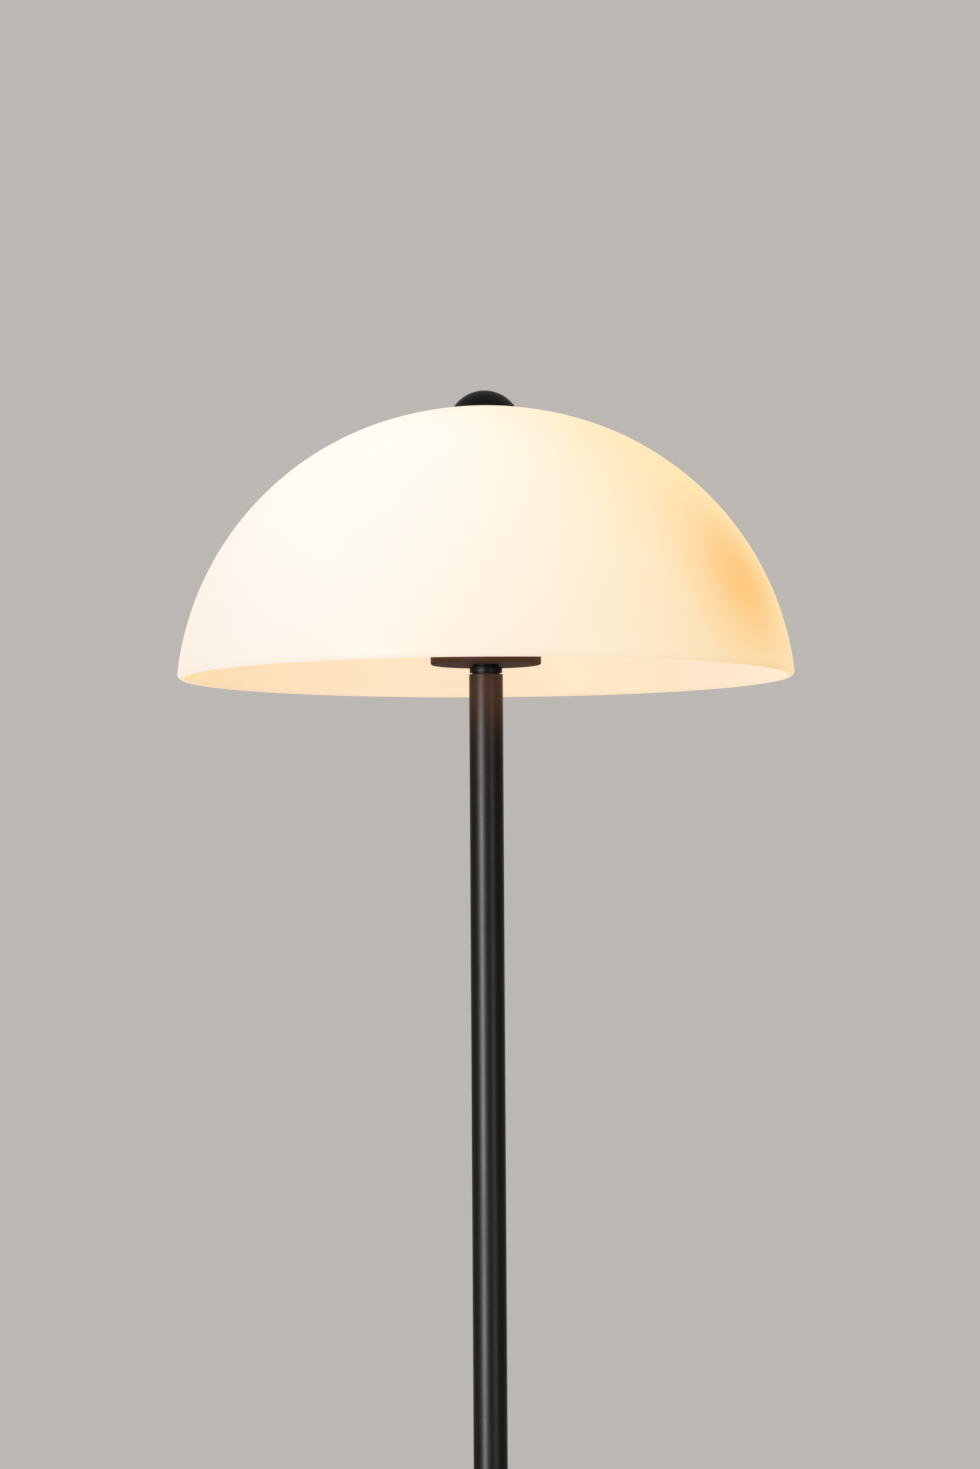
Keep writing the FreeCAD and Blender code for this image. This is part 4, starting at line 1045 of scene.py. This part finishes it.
# %% Access screws
HEAD_RADIUS = 2.75 * MM
HEAD_THICKNESS = 1.4 * MM
SCREW_RADIUS = 1.5 * MM
SCREW_TIP = 0.7 * MM
THREAD_START = 1.6 * MM
FIRST_SCREW = math.radians(60)
head_level, screw_end = bottom("access_screws"), top("access_screws")
head_top, thread_foot = head_level + HEAD_THICKNESS, head_level + THREAD_START
screw_corners = [
    (0.0, head_level), (HEAD_RADIUS, head_level, 0.5 * MM), (HEAD_RADIUS, head_top, 0.1 * MM),
    (SCREW_RADIUS, head_top),
]
screw_profile = rounded(screw_corners, 4)
screw_profile += heights(SCREW_RADIUS, rows(thread_foot, screw_end - 0.8 * MM, 0.1 * MM))
screw_profile += [Vector((SCREW_TIP, screw_end)), Vector((0, screw_end))]
screws = make_piece(
    "cross_head_screws", profile_mesh("screw", screw_profile[::-1]), build_screws(),
    {"First turn": FIRST_SCREW, "Head level": head_level, "Thread from": thread_foot,
     "Thread to": screw_end, "Finish": zinc_plate})
stand_for(screws, "stand", "zinc_steel", "access_screws")

# %% [markdown]
# ## Threads
# In the CAD model the rod and the bulb caps are plain cylinders.  Here they get their threads: the
# rod a fine one of 1 mm pitch, the rolled screw caps a round one of 2.82 mm.  The rod's profile has
# close rows only at its two ends, so the thread shows there and the middle stays plain.

# %% Threaded rod
ROD_BORE = 3.5 * MM
ROD_CHAMFER = 0.3 * MM
ROD_FOOT_THREAD = 24 * MM
THREAD_ROW = 0.25 * MM
rod_foot, rod_top = bottom("centre_rod"), top("centre_rod")
rod_radius, seat_bottom = radius("centre_rod"), bottom("shade_seat")
levels = rows(rod_foot, rod_foot + ROD_FOOT_THREAD, THREAD_ROW)[1:]
levels += rows(seat_bottom, rod_top, THREAD_ROW)[:-1]
inner_edge, outer_edge = ROD_BORE + ROD_CHAMFER, rod_radius - ROD_CHAMFER
rod_profile = heights(ROD_BORE, [rod_top - ROD_CHAMFER, rod_foot + ROD_CHAMFER])
rod_profile += [Vector((inner_edge, rod_foot)), Vector((outer_edge, rod_foot))]
rod_profile += heights(rod_radius, levels)
rod_profile += [Vector((outer_edge, rod_top)), Vector((inner_edge, rod_top))]
rod_thread = {"pitch": MM, "depth": 0.45 * MM, "from": rod_foot, "to": rod_top, "beyond": 4.8 * MM}
rod = turn("threaded_rod", rod_profile, zinc_plate, steps=72, **rod_thread)
stand_for(rod, "stand", "zinc_steel", "centre_rod")

# %% Bulb caps
BULB_SEAT = 45 * MM
CAP_RADIUS = 6.95 * MM
CAP_END = 22 * MM
CAP_WALL = 0.5 * MM
CAP_FLOOR = 3.3 * MM
CAP_NOSE = 5.2 * MM
CAP_SHOULDER = 5.2 * MM
CAP_THREAD = {"pitch": 2.82 * MM, "depth": 0.6 * MM, "from": 5.6 * MM, "to": 19.5 * MM,
              "beyond": 6.2 * MM}
inner_floor = CAP_FLOOR + CAP_WALL
cap_levels = rows(CAP_SHOULDER, CAP_END - 0.4 * MM, 0.3 * MM)
cap_profile = [Vector((0, CAP_FLOOR)), Vector((CAP_NOSE, CAP_FLOOR))]
cap_profile += heights(CAP_RADIUS, cap_levels + [CAP_END])
cap_profile += heights(CAP_RADIUS - CAP_WALL, [CAP_END] + cap_levels[::-1])
cap_profile += [Vector((CAP_NOSE - 0.2 * MM, inner_floor)), Vector((0, inner_floor))]
for number in range(ARMS):
    cap = turn(f"bulb_thread_{number + 1}", cap_profile, zinc_plate, steps=72,
               place=arm_place(number, BULB_SEAT), **CAP_THREAD)
    stand_for(cap, f"bulb_{number + 1}", "zinc_steel", f"bulb_cap_{number + 1}")

# %% [markdown]
# ## Bulb globes
# A bulb's globe is a frosted shell that glows all over, a little less towards its edge.  The edge
# is found with Layer Weight, which stays in the material.

# %% Glowing bulbs
GLOBE_MIDDLE = (1.0, 0.86, 0.62, 1)
GLOBE_EDGE = (0.9, 0.62, 0.34, 1)


def bulb_glass():
    material, tree, shader = new_finish("bulb_glass", Emission_Strength=1.6, Roughness=0.3)
    edge = add_node(tree, "ShaderNodeLayerWeight", {"Blend": 0.35}).outputs["Facing"]
    glow = mix_colour(tree, edge, GLOBE_MIDDLE, GLOBE_EDGE)
    tree.links.new(glow, shader.inputs["Emission Color"])
    dust = use_group(tree, dust_group, Color=(0.75, 0.72, 0.66, 1), Amount=0.1)
    tree.links.new(dust["Color"], shader.inputs["Base Color"])
    return material


lit_bulb = bulb_glass()

# %% [markdown]
# ## Finishes for the CAD nodes
# The other nodes already have the right shape, so they keep their mesh and get a finish.  The
# last line counts the nodes that have neither a finish nor a piece in their place: none.

# %% Dress the CAD nodes
def numbered(stem):
    return [f"{stem}_{number}" for number in range(1, ARMS + 1)]


finishes = {
    black_lacquer: ["foot_collar", "base_cover", "rod_sleeve", "shade_seat"],
    hub_lacquer: ["cluster_hub"],
    cast_iron: ["base_weight"],
    zinc_plate: ["access_plate", "rod_nut", "seat_nut", "tie_nut", "tie_tube", "tie_washer",
                 "holder_nipples", "pole_foot_plug", "joint_socket", "joint_spigot"],
    plain_brass: [*numbered("screw_shell"), "centre_contacts"],
    thermoset: [*numbered("holder_cap"), *numbered("holder_skirt")],
    lit_bulb: numbered("bulb_globe"),
    bulb_plastic: numbered("bulb_body"),
    insulator_glass: numbered("bulb_contact"),
    silicone: ["finial_washer"],
    pale_nylon: ["glass_bush", "terminal_ring"],
    black_nylon: ["base_block", "cord_gland"],
}
dressed = set()
for material, names in finishes.items():
    for name in names:
        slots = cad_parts[name].data.materials
        slots.clear()
        slots.append(material)
        dressed.add(name)
left = sorted(set(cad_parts) - dressed - replaced)
print("dressed", len(dressed), "nodes, replaced", len(replaced), "and left", left)

# %% [markdown]
# ## Stage, light and camera
# A pale floor under a pale sky.  Their colour is what the camera and the reflections see; the light
# that falls on the lamp stays at a plain level.  The floor fades into the sky with its distance
# from the lamp, and it can be looked through from below.

# %% Stage
BACKDROP = (0.50, 0.475, 0.45, 1.0)
FLOOR_COLOURS = ((0.70, 0.67, 0.64, 1), (0.715, 0.685, 0.655, 1))
FLOOR_RADIUS = 14.0
FLOOR_GAP = 0.4 * MM
HAZE_FROM, HAZE_TO = 0.5, 3.4


def seen_directly(tree):
    """One for what the camera sees, straight, in a reflection or through glass, else zero."""
    paths = add_node(tree, "ShaderNodeLightPath").outputs
    seen = calculate(tree, "MAXIMUM", paths["Is Camera Ray"], paths["Is Glossy Ray"])
    return calculate(tree, "MAXIMUM", seen, paths["Is Transmission Ray"])


floor_mesh = bpy.data.meshes.new("floor")
shape = bmesh.new()
bmesh.ops.create_circle(shape, cap_ends=True, segments=96, radius=FLOOR_RADIUS)
shape.to_mesh(floor_mesh)
shape.free()
floor_mesh.transform(Matrix.Translation((0, 0, -FLOOR_GAP)))
floor = link("floor", floor_mesh)
floor_finish, tree, shader = new_finish("pale_floor", Roughness=0.9, Specular_IOR_Level=0.0)
place = add_node(tree, "ShaderNodeTexCoord").outputs["Object"]
distance = calculate_vector(tree, "LENGTH", place)
share = product(tree, ramp(tree, distance, HAZE_FROM, HAZE_TO), seen_directly(tree))
colour = mix_colour(tree, noise(tree, 3.0), *FLOOR_COLOURS)
tree.links.new(colour, shader.inputs["Base Color"])
haze = add_node(tree, "ShaderNodeEmission", {"Color": BACKDROP})
blend = add_node(tree, "ShaderNodeMixShader", {0: share, 1: shader.outputs[0], 2: haze.outputs[0]})
clear = add_node(tree, "ShaderNodeBsdfTransparent")
under = add_node(tree, "ShaderNodeNewGeometry").outputs["Backfacing"]
blend = add_node(tree, "ShaderNodeMixShader", {0: under, 1: blend.outputs[0], 2: clear.outputs[0]})
tree.links.new(blend.outputs[0], tree.nodes["Material Output"].inputs["Surface"])
floor_mesh.materials.append(floor_finish)

# %% World
FILL_COLOUR = (1.0, 0.97, 0.94, 1)
FILL_STRENGTH = 0.48
scene = bpy.context.scene
world = scene.world or bpy.data.worlds.new("World")
scene.world = world
world.use_nodes = True
tree = world.node_tree
tree.nodes.clear()
sky = add_node(tree, "ShaderNodeBackground", {"Color": BACKDROP, "Strength": 1.0})
fill = add_node(tree, "ShaderNodeBackground", {"Color": FILL_COLOUR, "Strength": FILL_STRENGTH})
blend = add_node(tree, "ShaderNodeMixShader",
                 {0: seen_directly(tree), 1: fill.outputs[0], 2: sky.outputs[0]})
add_node(tree, "ShaderNodeOutputWorld", {"Surface": blend.outputs[0]})
scene.view_settings.view_transform = "Standard"

# %% [markdown]
# A tall narrow soft box at the left gives the pole its one clear highlight, a little left of its
# middle, and a weaker one stands at the right.  Both show in reflections only.  A broad soft box
# above lights the base and the floor, and shows in no reflection.

# %% Lights
def soft_box(name, place, target, width, height, power, colour=(1, 1, 1)):
    data = bpy.data.lights.new(name, "AREA")
    data.shape = "RECTANGLE"
    data.size, data.size_y, data.energy, data.color = width, height, power, colour
    box = bpy.data.objects.new(name, data)
    scene.collection.objects.link(box)
    box.location = place
    box.rotation_euler = (Vector(target) - Vector(place)).to_track_quat("-Z", "Y").to_euler()
    return box


key_strip = soft_box("key_strip", (-1.42, -1.9, 0.95), (0, 0, 1.0), width=0.5, height=1.9,
                     power=310.0, colour=(1.0, 0.95, 0.94))
right_strip = soft_box("right_strip", (1.45, -1.9, 0.85), (0, 0, 0.95), width=0.3, height=1.7,
                       power=40.0, colour=(1.0, 0.94, 0.9))
overhead = soft_box("overhead", (0.4, -0.9, 3.2), (0, 0, 0.6), width=2.4, height=2.4, power=34.0)
key_strip.visible_diffuse = right_strip.visible_diffuse = False
overhead.visible_glossy = False

# %% [markdown]
# The camera's place was worked out from the photograph: the rim's ellipse gives its height, and the
# finial's and the pan's widths the distance.  It stands 127 mm below the rim and looks up a little.

# %% Camera
CAMERA_PLACE = Vector((0.00239, -1.9, rim_level - 0.1275))
CAMERA_TILT = 0.0480
CAMERA_ROLL = -0.0061
CAMERA_LENS = 71.63
CAMERA_SENSOR = 36.0
view = bpy.data.cameras.new("photo_view")
view.lens = CAMERA_LENS
view.sensor_width = CAMERA_SENSOR
view.sensor_fit = "AUTO"
camera = bpy.data.objects.new("photo_view", view)
scene.collection.objects.link(camera)
tilt = Matrix.Rotation(math.pi / 2 + CAMERA_TILT, 4, "X")
roll = Matrix.Rotation(CAMERA_ROLL, 4, "Z")
camera.matrix_world = Matrix.Translation(CAMERA_PLACE) @ tilt @ roll
scene.camera = camera
